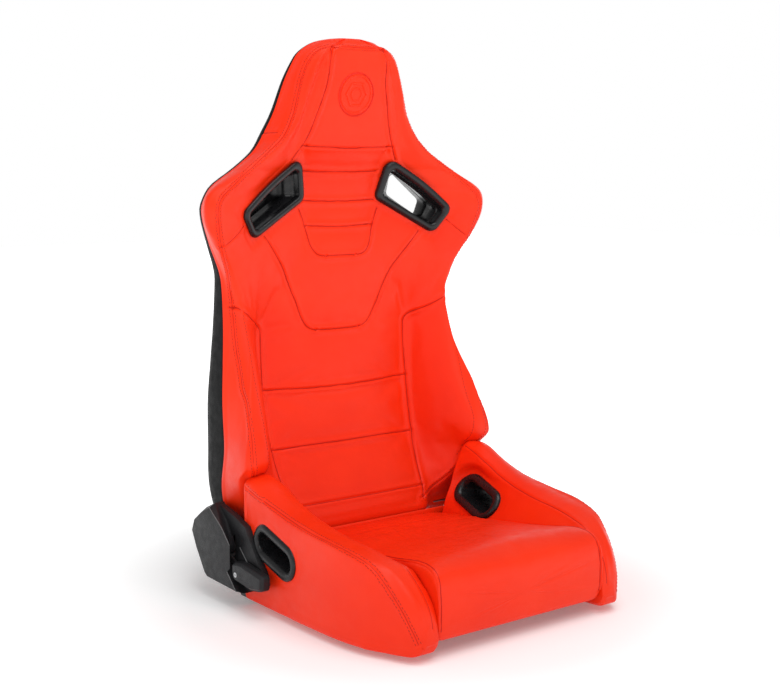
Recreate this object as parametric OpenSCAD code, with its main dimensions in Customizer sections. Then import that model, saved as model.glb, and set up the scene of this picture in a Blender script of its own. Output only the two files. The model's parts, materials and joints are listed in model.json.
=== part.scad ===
// Reclining racing seat: steel base and back frames, foam pads under red leatherette, a black
// back shell, harness and lap belt ducts, and a lever-released recliner on each side.
// +Z is up, the seat faces -Y, and the origin is the middle of the four mounting bosses.

/* [Mounting] */
// Distance between the left and right mounting bosses
mount_dx = 410; // [380:5:420]
// Distance between the front and rear mounting bosses
mount_dy = 240; // [200:5:280]
// Height of each boss, from the floor to the base frame
boss_h = 10; // [8:1:12]
// Bore of each boss, for an M8 bolt
boss_bore = 8; // [6:0.5:10]

/* [Base] */
// Half of the width over the base bolsters
base_half_w = 245; // [244:1:248]
// Thickness of the steel side plates
plate_t = 3; // [2:0.5:3]
// Diameter of the cross tubes
tube_d = 22; // [16:1:24]

/* [Recliner] */
// Distance of the recline axis behind the middle of the mounts
pivot_y = 168; // [166:1:170]
// Height of the recline axis
pivot_z = 95; // [93:1:97]
// Diameter of the release shaft
shaft_d = 10; // [8:1:11]
// Number of teeth in each recliner's ring
ring_teeth = 60; // [36:4:72]

/* [Back] */
// Wall of the moulded back shell
shell_t = 3; // [2:0.5:3]
// Diameter of the tube that runs round the back frame
hoop_d = 16; // [14:1:16]

/* [Ducts] */
// Width of the flange round each harness opening
bezel_rim = 11; // [8:1:13]
// Width of the flange round each lap belt opening
lap_rim = 13; // [10:1:14]

/* [Hidden] */

red = "#f5432a";
black = "#26272a";
steel = "#5c6066";
zinc = "#b9bcc0";
gap = 0.4;              // between solids that face each other
running = 0.06;         // radial clearance of a running fit
far = 600;              // longer than the seat in any direction

// ---- curves ---------------------------------------------------------------------------------

// Row of a [key, value] table at or below key k
function row(tab, k) = max([for (i = [0 : len(tab) - 2]) k >= tab[i][0] || i == 0 ? i : 0]);
function rise(tab, i) = let (a = max(i - 1, 0), b = min(i + 1, len(tab) - 1))
    (tab[b][1] - tab[a][1]) / (tab[b][0] - tab[a][0]);
// Smooth curve through a [key, value] table
function at(tab, key) = let (
        k = min(max(key, tab[0][0]), tab[len(tab) - 1][0]),
        i = row(tab, k), a = tab[i], b = tab[i + 1], h = b[0] - a[0], t = (k - a[0]) / h,
        lo = rise(tab, i) * h, hi = rise(tab, i + 1) * h)
    a[1] * (1 + t * t * (2 * t - 3)) + b[1] * t * t * (3 - 2 * t)
    + lo * t * (1 - t) * (1 - t) + hi * t * t * (t - 1);
// Smooth curve through points, n steps from each to the next
function bend(p, n) = let (m = len(p) - 1) concat(
    [for (i = [0 : m - 1], j = [0 : n - 1]) let (
            t = j / n, a = p[max(i - 1, 0)], b = p[i], c = p[i + 1], d = p[min(i + 2, m)])
        0.5 * (2 * b + t * (c - a) + t * t * (2 * a - 5 * b + 4 * c - d)
               + t * t * t * (3 * b - a - 3 * c + d))],
    [p[m]]);
// A half outline, from the middle out, made whole
function whole(half) = concat([for (i = [len(half) - 1 : -1 : 0]) [-half[i][0], half[i][1]]],
    [for (i = [0 : len(half) - 1]) if (half[i][0] > 0.01) half[i]]);

// Closed solid through rings of equally many points; ends are the triangles or polygon of its first end
module loft(rings, ends = []) {
    n = len(rings[0]);
    m = len(rings);
    first = len(ends) > 0 ? ends : [[for (j = [0 : n - 1]) j]];
    polyhedron([for (ring = rings, p = ring) p], concat(
        first,
        [for (i = [0 : m - 2], j = [0 : n - 1]) let (k = (j + 1) % n)
            [i * n + j, (i + 1) * n + j, (i + 1) * n + k]],
        [for (i = [0 : m - 2], j = [0 : n - 1]) let (k = (j + 1) % n)
            [i * n + j, (i + 1) * n + k, i * n + k]],
        [for (f = first) [for (k = [len(f) - 1 : -1 : 0]) (m - 1) * n + f[k]]]));
}

// Round bar along a path
module bar(path, r, sides = 12) {
    m = len(path) - 1;
    loft([for (i = [0 : m]) let (
            d = path[min(i + 1, m)] - path[max(i - 1, 0)], w = d / norm(d),
            s = abs(w[1]) > 0.9 ? [1, 0, 0] : [0, 1, 0],
            u = cross(s, w) / norm(cross(s, w)), v = cross(w, u))
        [for (j = [0 : sides - 1]) path[i] + r * (u * cos(360 * j / sides) + v * sin(360 * j / sides))]]);
}

module right() { children(); }
module left() { mirror([1, 0, 0]) children(); }
// A 2-D shape in the YZ plane, drawn from x to x + t
module across(x, t) { translate([x, 0, 0]) rotate([90, 0, 90]) linear_extrude(t) children(); }
// A 2-D shape in the XZ plane, drawn from y to y + t
module along(y, t) { translate([0, y + t, 0]) rotate([90, 0, 0]) linear_extrude(t) children(); }
module obround(length, d) {
    hull() for (s = [-1, 1]) translate([s * (length - d) / 2, 0]) circle(d = d, $fn = 32);
}

// ---- back: outline and depth by height --------------------------------------------------------

edge_x = [[100, 212], [118, 220], [150, 232], [185, 245], [205, 251], [240, 249], [268, 241],
    [300, 233], [335, 226], [360, 219], [390, 213], [430, 212], [467, 216], [489, 223], [522, 234],
    [564, 260], [590, 275], [614, 280], [638, 275], [654, 256], [674, 217], [690, 190], [707, 165],
    [733, 143], [767, 123], [796, 113], [820, 106], [845, 96], [860, 88], [872, 75], [881, 56],
    [886, 30]];
seam_y = [[100, 165], [150, 145], [190, 127], [200, 122], [210, 110], [222, 101], [250, 104],
    [301, 119], [370, 147], [426, 167], [466, 180], [510, 178], [560, 165], [614, 155], [645, 156],
    [674, 163], [707, 168], [733, 174], [767, 174], [820, 170], [854, 166], [886, 172]];
crest_x = [[100, 170], [150, 190], [185, 204], [217, 209], [251, 208], [313, 200], [379, 196],
    [452, 198], [500, 204], [560, 230], [612, 252], [640, 244], [670, 200], [700, 150], [733, 122],
    [765, 105], [800, 96], [850, 76], [872, 54], [886, 16]];
crest_y = [[100, 162], [125, 146], [150, 134], [190, 124], [200, 121], [210, 109], [222, 99],
    [251, 102], [313, 131], [379, 156], [452, 178], [500, 179], [560, 165], [612, 151], [640, 152],
    [670, 159], [700, 163], [733, 161], [765, 158], [800, 153], [850, 147], [870, 149], [886, 164]];
panel_x = [[100, 135], [222, 144], [316, 147], [400, 149], [450, 140], [500, 110], [560, 82],
    [620, 74], [680, 84], [713, 89], [790, 76], [850, 54], [872, 36], [886, 8]];
panel_y = [[100, 140], [133, 150], [180, 176], [222, 193], [270, 207], [316, 213], [418, 219],
    [470, 211], [535, 200], [585, 203], [626, 205], [674, 198], [692, 189], [713, 176], [760, 163],
    [810, 152], [868, 145], [886, 164]];
crown = [[100, 0], [220, 7], [420, 10], [520, 2], [886, 1]];
joint_x = [[100, 233], [160, 241], [200, 243], [300, 241], [373, 233], [430, 229], [500, 229],
    [522, 233], [564, 248], [614, 261], [638, 253], [654, 240], [674, 209], [690, 186], [707, 165],
    [733, 146], [767, 126], [820, 107], [845, 96], [860, 88], [872, 74], [881, 55], [886, 29]];
joint_y = [[100, 182], [169, 190], [237, 179], [285, 183], [377, 196], [488, 203], [560, 208],
    [640, 206], [700, 205], [760, 207], [820, 202], [870, 192], [886, 186]];
rear_y = [[100, 254], [144, 275], [200, 285], [290, 288], [373, 284], [456, 273], [533, 262],
    [600, 256], [660, 250], [720, 243], [780, 235], [830, 225], [860, 213], [880, 200], [886, 193]];
// How boxy the shell is in section, from 0.5 to 1 for an ellipse
shell_round = [[100, 0.5], [300, 0.5], [480, 0.55], [580, 0.8], [690, 0.8], [740, 0.6], [820, 0.6],
    [886, 0.7]];
pad_y = [[100, 184], [150, 199], [222, 226], [316, 233], [415, 231], [450, 222], [480, 214], [600, 213],
    [658, 210], [690, 208], [740, 202], [798, 196], [850, 190], [886, 184]];
pad_side_y = [[100, 194], [430, 199], [600, 208], [700, 204], [750, 198], [850, 185], [886, 181]];
back_z = concat([100, 112, 125], [for (z = [140 : 14 : 224]) z],
    [for (z = [240 : 24 : 504]) z], [for (z = [520 : 13 : 715]) z], [for (z = [735 : 18 : 843]) z],
    [853, 862, 870, 876, 881, 886]);
shell_low = 112;                  // height of the shell's lower edge
back_top = 886;

// Half outline of the padded front at height z
function front_half(z) = let (
        x1 = at(panel_x, z), y1 = at(panel_y, z), xc = at(crest_x, z), yc = at(crest_y, z),
        xe = at(edge_x, z), ys = at(seam_y, z), xj = at(joint_x, z), yj = at(joint_y, z))
    bend([[0, y1 - at(crown, z)], [x1 * 0.55, y1 - at(crown, z) * 0.7], [x1, y1],
        [(x1 + xc) / 2, (y1 + yc) / 2 + 3], [xc, yc], [xe - 5, ys - 1], [xe, ys + 14], [xj, yj - gap]], 3);
// Half outline of the shell at height z, t inside its outer face
function shell_half(z, t) = let (xj = at(joint_x, z) - t, yj = at(joint_y, z), p = at(shell_round, z),
        d = max(at(rear_y, z) - yj - t, 0))
    [for (i = [0 : 9]) [xj * pow(cos(i * 10), p), yj + d * pow(sin(i * 10), p)]];
function mirrored(h) = [for (i = [len(h) - 2 : -1 : 0]) [-h[i][0], h[i][1]]];
function foam_ring(z) = let (
        xj = at(joint_x, z) - wall(z) - gap, yj = at(joint_y, z) - gap, e = z > 862 ? 0.1 : 1,
        xs = max(min(at(crest_x, z) - 16, xj - 8), xj * 0.5), yb = max(at(pad_side_y, z), yj + e),
        b = [[xj, yj], [xj - 1.2, yb], [xs, yb], [xs * 0.82, max(at(pad_y, z), yb + e / 2)]])
    [for (p = concat(whole(front_half(z)), b, mirrored(concat(b, [b[3]])))) [p[0], p[1], z]];
// Wall of the shell at height z
function wall(z) = z < 865 ? shell_t : shell_t + (z - 865) * 0.2;
function shell_ring(z) = let (o = shell_half(z, 0), i = shell_half(z, wall(z)), c = concat(i, mirrored(i)),
        n = len(c))
    [for (p = concat(o, mirrored(o), [for (k = [n - 1 : -1 : 0]) c[k]])) [p[0], p[1], z]];

// Triangles that close a foam ring: its front points are 0 to 42 and its back points 43 to 50
foam_ends = concat([[0, 1, 50], [1, 48, 50], [50, 48, 49]], [for (i = [1 : 11]) [i, i + 1, 48]],
    [for (i = [12 : 20]) [i, i + 1, 47]], [[12, 47, 48], [21, 46, 47]], [for (i = [21 : 29]) [i, i + 1, 46]],
    [[30, 45, 46]], [for (i = [30 : 40]) [i, i + 1, 45]], [[41, 42, 43], [41, 43, 45], [43, 44, 45]]);
// The shell's ring has 19 points along its outer face and 19 along its inner face
shell_ends = [for (i = [0 : 17], k = [0, 1]) k == 0 ? [i, i + 1, 36 - i] : [i, 36 - i, 37 - i]];

// Slice of the foam between two heights, from x0 to x1
module slab(z0, z1, x0 = -far, x1 = far) {
    intersection() {
        loft([for (z = concat([z0], [for (z = back_z) if (z > z0 + 2 && z < z1 - 2) z], [z1])) foam_ring(z)],
            foam_ends);
        translate([x0, 0, 0]) cube([x1 - x0, far, 2 * far]);
    }
}
module recliner_pocket() {
    for (s = [0, 1]) mirror([s, 0, 0]) across(222.5, 40) translate([pivot_y, pivot_z]) circle(d = 82, $fn = 96);
}

// ---- harness openings --------------------------------------------------------------------------

// Corners of the flange, with their radii
duct = [[95, 681, 10], [84, 633, 10], [178, 585, 14], [194, 607, 13]];
module opening(grow) {
    offset(delta = grow) hull() for (c = duct) translate([c[0], c[1]]) circle(r = c[2], $fn = 32);
}
flange_slope = [0.29, 0.186];       // how far the padded face comes forward per mm of x and z
// Slab along the padded face, d in front of it and t thick
module face_slab(d, t) {
    multmatrix([[1, 0, 0, 0], [-flange_slope[0], 1, -flange_slope[1], 0], [0, 0, 1, 0], [0, 0, 0, 1]])
        translate([0, 187 + flange_slope[0] * 86 + flange_slope[1] * 692 - d, 300]) cube([far, t, far]);
}
module harness_holes(grow) { for (s = [0, 1]) mirror([s, 0, 0]) along(100, 250) opening(grow); }
duct_split = 222;

module harness_bezel() {
    color(black) difference() {
        union() {
            intersection() { along(120, 200) opening(1); face_slab(4, 5); }
            intersection() { along(100, duct_split - 100) opening(2 - bezel_rim); face_slab(0, far); }
        }
        along(100, 250) opening(-bezel_rim);
    }
}
// Slab along the shell's rear face behind an opening, from d outside it and t thick
module rear_slab(d, t) {
    multmatrix([[1, 0, 0, 0], [-0.15, 1, -0.08, 0], [0, 0, 1, 0], [0, 0, 0, 1]])
        translate([0, 254 + 0.15 * 80 + 0.08 * 640 - d, 300]) cube([far, t, far]);
}
module harness_duct() {
    color(black) difference() {
        union() {
            intersection() {
                along(duct_split + gap, 60) opening(1 - bezel_rim);
                rear_slab(far / 2, far / 2 + 1);
            }
            intersection() { along(200, 100) opening(-1); rear_slab(1, 4.5); }
        }
        along(100, 250) opening(-1.5 - bezel_rim);
    }
}

// ---- base: outline by distance from the front ----------------------------------------------------

out_x = [[-259, 190], [-256, 196], [-250, 202], [-236, 210], [-207, 222], [-177, 233], [-120, 241],
    [-60, 244], [118, 245]];
top_z = [[-259, 44], [-256, 66], [-250, 84], [-240, 99], [-225, 114], [-205, 129], [-185, 138],
    [-150, 147], [-94, 153], [-40, 162], [3, 172], [44, 188], [75, 203], [95, 206], [108, 206],
    [118, 196]];
side_z = [[-259, 34], [-256, 54], [-250, 70], [-236, 88], [-225, 99], [-205, 116], [-177, 131],
    [-126, 145], [-55, 152], [3, 159], [52, 175], [85, 191], [104, 194], [118, 188]];
seat_x = [[-262, 162], [-200, 159], [-120, 153], [138, 150]];
seat_z = [[-257, 92], [-254, 112], [-246, 125], [-230, 132], [-205, 133], [-150, 124], [-40, 110],
    [60, 98], [125, 89], [138, 78]];
seat_low_z = [[-257, 46], [-253, 28], [-236, 24], [-222, 34], [-205, 62], [138, 64]];
hem_z = [[-259, 26], [-255, 15], [-240, 12], [-150, 13.5], [118, 13.5]];

function bolster_ring(y) = let (xi = at(seat_x, y) + gap, xo = at(out_x, y), zt = at(top_z, y),
        zs = at(side_z, y), zb = at(hem_z, y), zj = min(at(seat_z, y), zt) - 14, w = xo - xi)
    [for (p = concat([[xi, zb + 6]], bend([[xi, zj], [xi + w * 0.12, zj + (zt - zj) * 0.3],
        [xi + w * 0.4, zt - (zt - zj) * 0.2], [xi + w * 0.58, zt - 1], [xi + w * 0.78, zt - 1],
        [xo - w * 0.05, zs + 2], [xo, zs - 14], [xo, (zs + zb) / 2]], 3),
        [[xo - 2, zb + 8], [xo - 8, zb]])) [p[0], y, p[1]]];
module base_bolster() {
    color(red) difference() {
        loft([for (y = [-259, -257.5, -255, -250, -244, -236, -224, -208, -185, -150, -110, -70, -30, 10, 50,
            80, 98, 108, 114, 118]) bolster_ring(y)]);
        across(plate_x - gap, plate_t + 2 * gap) offset(delta = gap) polygon(side_points);
        translate([0, -far / 2, -far + boss_h + plate_t + gap]) cube([far, far, far]);
        for (y = tube_y) across(0, plate_x) translate([y, tube_z]) circle(d = tube_d + 1, $fn = 48);
        lap_body(2.4, 3);
    }
}
module seat_cushion() {
    color(red) loft([for (y = [-257, -255, -251, -245, -237, -228, -215, -200, -160, -110, -50, 10, 70, 120,
            131, 138])
        let (w = at(seat_x, y), z = at(seat_z, y), b = at(seat_low_z, y), k = min(10, (z - b) / 3))
        [for (p = whole([[0, z + 2], [w * 0.5, z + 1], [w - k, z - 1], [w, z - k], [w, b + k / 2],
            [w - k / 2, b]])) [p[0], y, p[1]]]]);
}

// ---- lap belt openings ---------------------------------------------------------------------------

lap_tilt = -17;                   // the slot drops towards the front
lap_l = 116;
lap_out = [29, 104];              // centre of the outer flange
lap_in = [50, 131];               // centre of the slot 18 mm inboard of the padded inner face
face_in = [172, 124];             // a point of the inner face
face_tilt = 32.7;                 // lean of the inner face
lap_split = 214;
module lap_slice(x, c, d, l) { across(x, 0.01) translate(c) rotate(-lap_tilt) obround(l, d); }
// The slanted tube of the lap belt slot, grown by g, as far out as x1
module lap_tube(g, x1) {
    hull() {
        lap_slice(x1, lap_at(x1), 2 * (lap_r + g), lap_l - 2 * lap_rim + 2 * g);
        lap_slice(140, lap_at(140), 2 * (lap_r + g), lap_l - 2 * lap_rim + 2 * g);
    }
}
lap_r = 15;
function lap_at(x) = lap_out + (lap_in - lap_out) * (249 - x) / (249 - 154);
module inner_slab(d, t) { translate([face_in[0], 0, face_in[1]]) rotate([0, face_tilt, 0])
    translate([-d, -far / 2, -far / 2]) cube([t, far, far]); }
module lap_body(g, sink) {
    lap_tube(g, 252);
    translate([base_half_w - sink, 0, 0]) across(0, 10) translate(lap_out) rotate(-lap_tilt) obround(lap_l - 6, 50);
    intersection() {
        hull() {
            lap_slice(190, lap_at(190), 52, lap_l - 6);
            lap_slice(145, lap_at(145), 52, lap_l - 6);
        }
        inner_slab(10, 10 + sink);
    }
}
module lap_bezel_outer() {
    color(black) difference() {
        union() {
            across(base_half_w - 2.5, 6.5) translate(lap_out) rotate(-lap_tilt) obround(lap_l - 6.8, 49.2);
            across(base_half_w + gap, 4 - gap) translate(lap_out) rotate(-lap_tilt) obround(lap_l, 56);
            intersection() { lap_tube(2, 247); translate([lap_split + gap, -far / 2, 0]) cube(far); }
        }
        lap_tube(0, 252);
    }
}
module lap_bezel_inner() {
    color(black) difference() {
        union() {
            intersection() {
                hull() {
                    lap_slice(190, lap_at(190), 51, lap_l - 7);
                    lap_slice(145, lap_at(145), 51, lap_l - 7);
                }
                inner_slab(4, 6.6);
            }
            intersection() {
                lap_tube(2, 247);
                translate([lap_split - far, -far / 2, 0]) cube(far);
                inner_slab(0, far);
            }
        }
        lap_tube(0, 252);
    }
}

// ---- base frame ------------------------------------------------------------------------------------

plate_x = 237;                    // inner face of the base side plates
tube_y = [-98, 118];
tube_z = 44;
// Side plate: a long foot and an ear round the recline axis
side_points = [[-114, 24], [-106, boss_h], [138, boss_h], [168, 40], [204, 92], [192, 122], [160, 131],
    [132, 112], [96, 66], [-108, 66]];
module side_member() {
    color(steel) {
        difference() {
            union() {
                across(plate_x, plate_t) polygon(side_points);
                translate([mount_dx / 2 - 14, -134, boss_h]) cube([plate_x - mount_dx / 2 + 15, 269, plate_t]);
            }
            across(plate_x - 1, plate_t + 2) translate([pivot_y, pivot_z]) circle(r = shaft_d / 2 + 1, $fn = 64);
            for (y = [-mount_dy / 2, mount_dy / 2]) translate([mount_dx / 2, y, 0])
                cylinder(d = boss_bore, h = far / 6, $fn = 64);
        }
    }
}
module mounting_bosses() {
    color(black) for (x = [-mount_dx / 2, mount_dx / 2], y = [-mount_dy / 2, mount_dy / 2])
        translate([x, y, 0]) difference() {
            cylinder(d = 17, h = boss_h, $fn = 64);
            translate([0, 0, -1]) cylinder(d = boss_bore, h = boss_h + 2, $fn = 64);
        }
}
module cross_tube(y) {
    color(steel) translate([-plate_x, y, tube_z]) rotate([0, 90, 0]) difference() {
        cylinder(d = tube_d, h = 2 * plate_x, $fn = 64);
        translate([0, 0, -1]) cylinder(d = tube_d - 4, h = 2 * plate_x + 2, $fn = 64);
    }
}
wire = 3.6;
// Flat zigzag of wire from a to b along Y, w wide
module zigzag(a, b, w, turns) {
    pitch = (b - a) / turns;
    for (i = [0 : turns - 1]) translate([0, a + i * pitch]) {
        translate([-w / 2, 0]) square([w, wire]);
        translate([i % 2 ? -w / 2 : w / 2 - wire, 0]) square([wire, pitch + wire]);
    }
}
module seat_springs() {
    color(zinc) for (x = [-105, -35, 35, 105]) translate([x, 0, tube_z + tube_d / 2])
        linear_extrude(wire) zigzag(tube_y[0], tube_y[1] - wire, 46, 11);
}

// ---- recliners -------------------------------------------------------------------------------------

ring_x = 227;                     // inner face of the toothed disc
ring_in = 24;                     // radius over the tips of the ring's teeth
tooth_h = 1;
slide_x = ring_x + 3.8;           // where the pawls' layer begins
pawl_w = 13;
pawl_in = 10;                     // height of each pawl's inner end above the axis
module at_pivot() { translate([pivot_y, pivot_z]) children(); }
module recliner_ring() {
    color(zinc) difference() {
        across(ring_x, 6.4) at_pivot() circle(r = 33, $fn = 96);
        across(ring_x + 3.4, 6.4) at_pivot() circle(r = ring_in, $fn = 96);
        across(ring_x + 3.4, 6.4) at_pivot() for (i = [0 : ring_teeth - 1]) rotate(360 * i / ring_teeth)
            polygon([[ring_in - 1, -0.8], [ring_in + tooth_h, -0.35], [ring_in + tooth_h, 0.35], [ring_in - 1, 0.8]]);
        across(ring_x - 1, 6.4) at_pivot() circle(r = shaft_d / 2 + 1, $fn = 64);
    }
}
module recliner_housing() {
    color(zinc) difference() {
        union() {
            across(ring_x + 6.8, plate_x - ring_x - 6.8) at_pivot() circle(r = 32, $fn = 96);
            across(slide_x, 5) at_pivot() difference() {
                circle(r = ring_in - running, $fn = 96);
                translate([-pawl_w / 2 - 0.2, -40]) square([pawl_w + 0.4, 80]);
                circle(r = 12.5, $fn = 64);
            }
        }
        across(ring_x, 40) at_pivot() circle(r = shaft_d / 2 + running, $fn = 64);
    }
}
module pawl() {
    across(slide_x, 2.7) at_pivot() difference() {
        intersection() {
            circle(r = ring_in - 0.3, $fn = 96);
            translate([-pawl_w / 2, pawl_in]) square([pawl_w, 20]);
        }
        for (i = [-3 : 3]) rotate(360 * i / ring_teeth) translate([0, ring_in - 0.3]) rotate(45)
            square(0.8, center = true);
    }
}
module both() { for (s = [0, 1]) mirror([s, 0, 0]) children(); }
module upper_pawls() { color(steel) both() pawl(); }
module lower_pawls() { color(steel) both() translate([0, 0, 2 * pivot_z]) mirror([0, 0, 1]) pawl(); }
module recliner_cams() {
    color(steel) both() across(slide_x, 2.7) at_pivot() difference() {
        intersection() {
            circle(r = pawl_in - 0.4, $fn = 64);
            union() {
                circle(r = 7.5, $fn = 64);
                square([2.4, 30], center = true);
            }
        }
        circle(d = shaft_d, $fn = 64);
    }
}
module release_shaft() {
    color(zinc) translate([-258, pivot_y, pivot_z]) rotate([0, 90, 0])
        cylinder(d = shaft_d, h = 258 + 242, $fn = 64);
}
spring_x = 243;
module lever_return_spring() {
    color(zinc) mirror([1, 0, 0]) bar([for (i = [0 : 48]) let (a = i * 22.5)
        [spring_x + i * 0.115, pivot_y + 8.2 * cos(a), pivot_z + 8.2 * sin(a)]], 0.9, 8);
}

// ---- recliner covers -------------------------------------------------------------------------------

cover_in = base_half_w + 0.6;
panel_out = 256;
cap_out = 275;
cover_wall = 2.5;
cap = [[197, 36], [186, 30], [94, 28], [126, 55], [134, 66], [134, 104], [151, 130], [177, 155],
    [204, 143], [227, 126], [236, 103], [222, 75]];
cap_top = [[192, 41], [184, 36], [96, 33], [122, 58], [113, 66], [113, 102], [136, 125], [173, 150],
    [200, 137], [222, 121], [230, 102], [217, 77]];
front_panel = [[174, 152], [188, 100], [184, 33], [97, 31], [58, 38], [43, 50], [46, 64], [88, 116],
    [99, 131], [130, 142]];
cap_mid = [175, 90];
function inset(outline, middle, k) = [for (p = outline) p + (middle - p) * k];
module layers(outlines, x) {
    loft([for (i = [0 : len(x) - 1]) let (o = outlines[i])
        [for (j = [len(o) - 1 : -1 : 0]) [x[i], o[j][0], o[j][1]]]]);
}
slot_r = 38.5;
module slot_sector(w, a0, a1) {
    at_pivot() intersection() {
        difference() { circle(r = slot_r + w / 2, $fn = 96); circle(r = slot_r - w / 2, $fn = 96); }
        polygon([[0, 0], [-90 * cos(a0), 90 * sin(a0)], [-90 * cos((a0 + a1) / 2), 90 * sin((a0 + a1) / 2)],
            [-90 * cos(a1), 90 * sin(a1)]]);
    }
}
module recliner_cover(slotted) {
    inner = inset(cap, cap_mid, 0.06);
    color(black) difference() {
        union() {
            across(cover_in, panel_out - cover_in) polygon(front_panel);
            layers([cap, cap, cap_top], [cover_in - 0.01, 262, cap_out]);
        }
        across(cover_in - 1, panel_out - cover_in - cover_wall + 1) polygon(inset(front_panel, [128, 88], 0.05));
        layers([inner, inner, inset(cap_top, cap_mid, 0.07)], [cover_in - 2, 261, cap_out - cover_wall]);
        across(cover_in - 1, 4.8) translate(lap_out) rotate(-lap_tilt) obround(lap_l + 1, 57);
        if (slotted) across(cover_in - 3, 22) slot_sector(9, -38, 26);
    }
}
stud_at = [[150, 113], [172, 60]];
// Studs that hold the covers, from the side plates to the inside of the caps
module cover_studs() {
    color(steel) both() for (p = stud_at) across(plate_x + plate_t, cap_out - cover_wall - plate_x - plate_t)
        translate(p) circle(d = 6, $fn = 48);
}

// ---- release lever (left side only) -------------------------------------------------------------------

lever_tilt = 28;                  // droop of the lever arm at rest
arm_in = 250;
module lever_arm() {
    color(steel) left() difference() {
        union() {
            across(arm_in, 3) at_pivot() rotate(lever_tilt) union() {
                circle(r = 11, $fn = 64);
                translate([-slot_r - 2.5, -4]) square([slot_r, 8]);
            }
            across(arm_in, 12) at_pivot() rotate(lever_tilt) translate([-slot_r - 2.5, -4]) square([5, 8]);
            across(arm_in + 9, 3) at_pivot() rotate(lever_tilt) translate([-84, -4]) square([84 - slot_r + 2.5, 8]);
        }
        across(arm_in - 1, 20) at_pivot() circle(d = shaft_d, $fn = 64);
        across(arm_in, 20) translate(lever_screw_at) circle(d = 4, $fn = 48);
    }
}
lever_screw_at = [pivot_y - 78 * cos(lever_tilt), pivot_z - 78 * sin(lever_tilt)];
grip = [[104, 70, 7], [99, 58, 11], [62, 52, 9], [34, 56, 9], [30, 66, 6], [84, 72, 7]];
module grip_outline(g = 0) {
    hull() for (c = grip) translate([c[0], c[1]]) circle(r = c[2] + g, $fn = 24);
}
module lever_grip() {
    color(black) left() difference() {
        hull() {
            across(258.4, 11) grip_outline();
            across(258.4, 16) grip_outline(-4);
        }
        across(arm_in + 8.8, 3.4) at_pivot() rotate(lever_tilt) translate([-84.2, -4.2])
            square([66, 8.4]);
        across(arm_in + 11, 20) translate(lever_screw_at) circle(d = 4.2, $fn = 48);
        across(272, 20) translate(lever_screw_at) circle(d = 8.4, $fn = 48);
    }
}
module lever_screw() {
    color(zinc) left() {
        across(272.2, 2.4) translate(lever_screw_at) difference() {
            circle(d = 8, $fn = 48);
            circle(d = 3.6, $fn = 6);
        }
        across(arm_in + 9, 272.2 - arm_in - 9) translate(lever_screw_at) circle(d = 4, $fn = 48);
    }
}

// ---- back frame ---------------------------------------------------------------------------------------

back_plate_x = 224;
module back_plate() {
    color(steel) difference() {
        union() {
            across(back_plate_x, 3) at_pivot() circle(r = 34, $fn = 96);
            across(back_plate_x, 3) polygon([[188, 110], [201, 132], [214, 178], [216, 336], [234, 336], [238, 170],
                [198, 88]]);
        }
        across(back_plate_x - 1, 5) at_pivot() circle(r = shaft_d / 2 + 1, $fn = 64);
    }
}
hoop_side = [[215.9, 226, 165], [215.9, 226, 260], [215.3, 226, 340], [213, 226, 400], [212, 226, 470], [214, 225, 530],
    [218, 225, 590], [210, 223, 622], [176, 221, 658], [138, 219, 692], [112, 218, 726], [92, 218, 770]];
module back_hoop() {
    path = concat(hoop_side, [[76, 216, 798], [50, 215, 806], [0, 214, 808], [-50, 215, 806], [-76, 216, 798]],
        [for (i = [len(hoop_side) - 1 : -1 : 0]) let (p = hoop_side[i]) [-p[0], p[1], p[2]]]);
    color(steel) bar(bend(path, 2), hoop_d / 2, 12);
}
module cross_bar(x, y, z) {
    color(steel) translate([-x, y, z]) rotate([0, 90, 0]) difference() {
        cylinder(d = 18, h = 2 * x, $fn = 64);
        translate([0, 0, -1]) cylinder(d = 14, h = 2 * x + 2, $fn = 64);
    }
}
module back_springs() {
    color(zinc) for (z = [200, 290, 380]) translate([0, 237.8, z]) rotate([90, 0, 0]) linear_extrude(wire)
        rotate(-90) zigzag(-214, 214 - wire, 40, 16);
}
shell_screw_at = [[95, 470], [150, 200], [40, 760]];
function shell_y(x, z) = let (xj = at(joint_x, z), yj = at(joint_y, z), p = at(shell_round, z))
    yj + (at(rear_y, z) - yj) * pow(1 - pow(x / xj, 2 / p), p / 2);
module shell_screw(x, z, g, h) {
    translate([x, shell_y(x, z) - 9, z]) rotate([-90, 0, 0]) cylinder(d = 11 + g, h = h, $fn = 48);
}

module shell_screws() {
    color(black) both() for (p = shell_screw_at) shell_screw(p[0], p[1], 0, 10);
}

// ---- back pads and shell ------------------------------------------------------------------------------

split_z = 432;                    // between the lumbar pad and the pads above it
neck_z = 702;                     // between the shoulder pads and the head pad
pad_split_x = 147;
tongue_x = 78;
module lumbar_pad() { color(red) slab(106, split_z - gap, -pad_split_x + gap, pad_split_x - gap); }
module back_bolster() {
    color(red) difference() {
        slab(118, split_z - gap, pad_split_x, far);
        recliner_pocket();
    }
}
module upper_center_pad() {
    color(red) difference() {
        slab(split_z, neck_z - gap, -tongue_x + gap, tongue_x - gap);
        harness_holes(3 - bezel_rim);
        both() intersection() { along(100, 250) opening(2); face_slab(9, 12); }
    }
}
module shoulder_pad() {
    color(red) difference() {
        slab(split_z, neck_z - gap, tongue_x, far);
        harness_holes(3 - bezel_rim);
        intersection() { along(100, 250) opening(2); face_slab(20, 21.6); }
    }
}
module headrest_pad() { color(red) slab(neck_z, back_top); }
module back_shell() {
    color(black) resize([0, 0, 0]) difference() {
        loft([for (z = back_z) if (z >= shell_low) shell_ring(z)], shell_ends);
        harness_holes(3 - bezel_rim);
        both() intersection() { along(200, 100) opening(0); rear_slab(1.4, 40); }
        both() for (p = shell_screw_at) shell_screw(p[0], p[1], 0.4, 40);
        recliner_pocket();
    }
}

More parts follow.
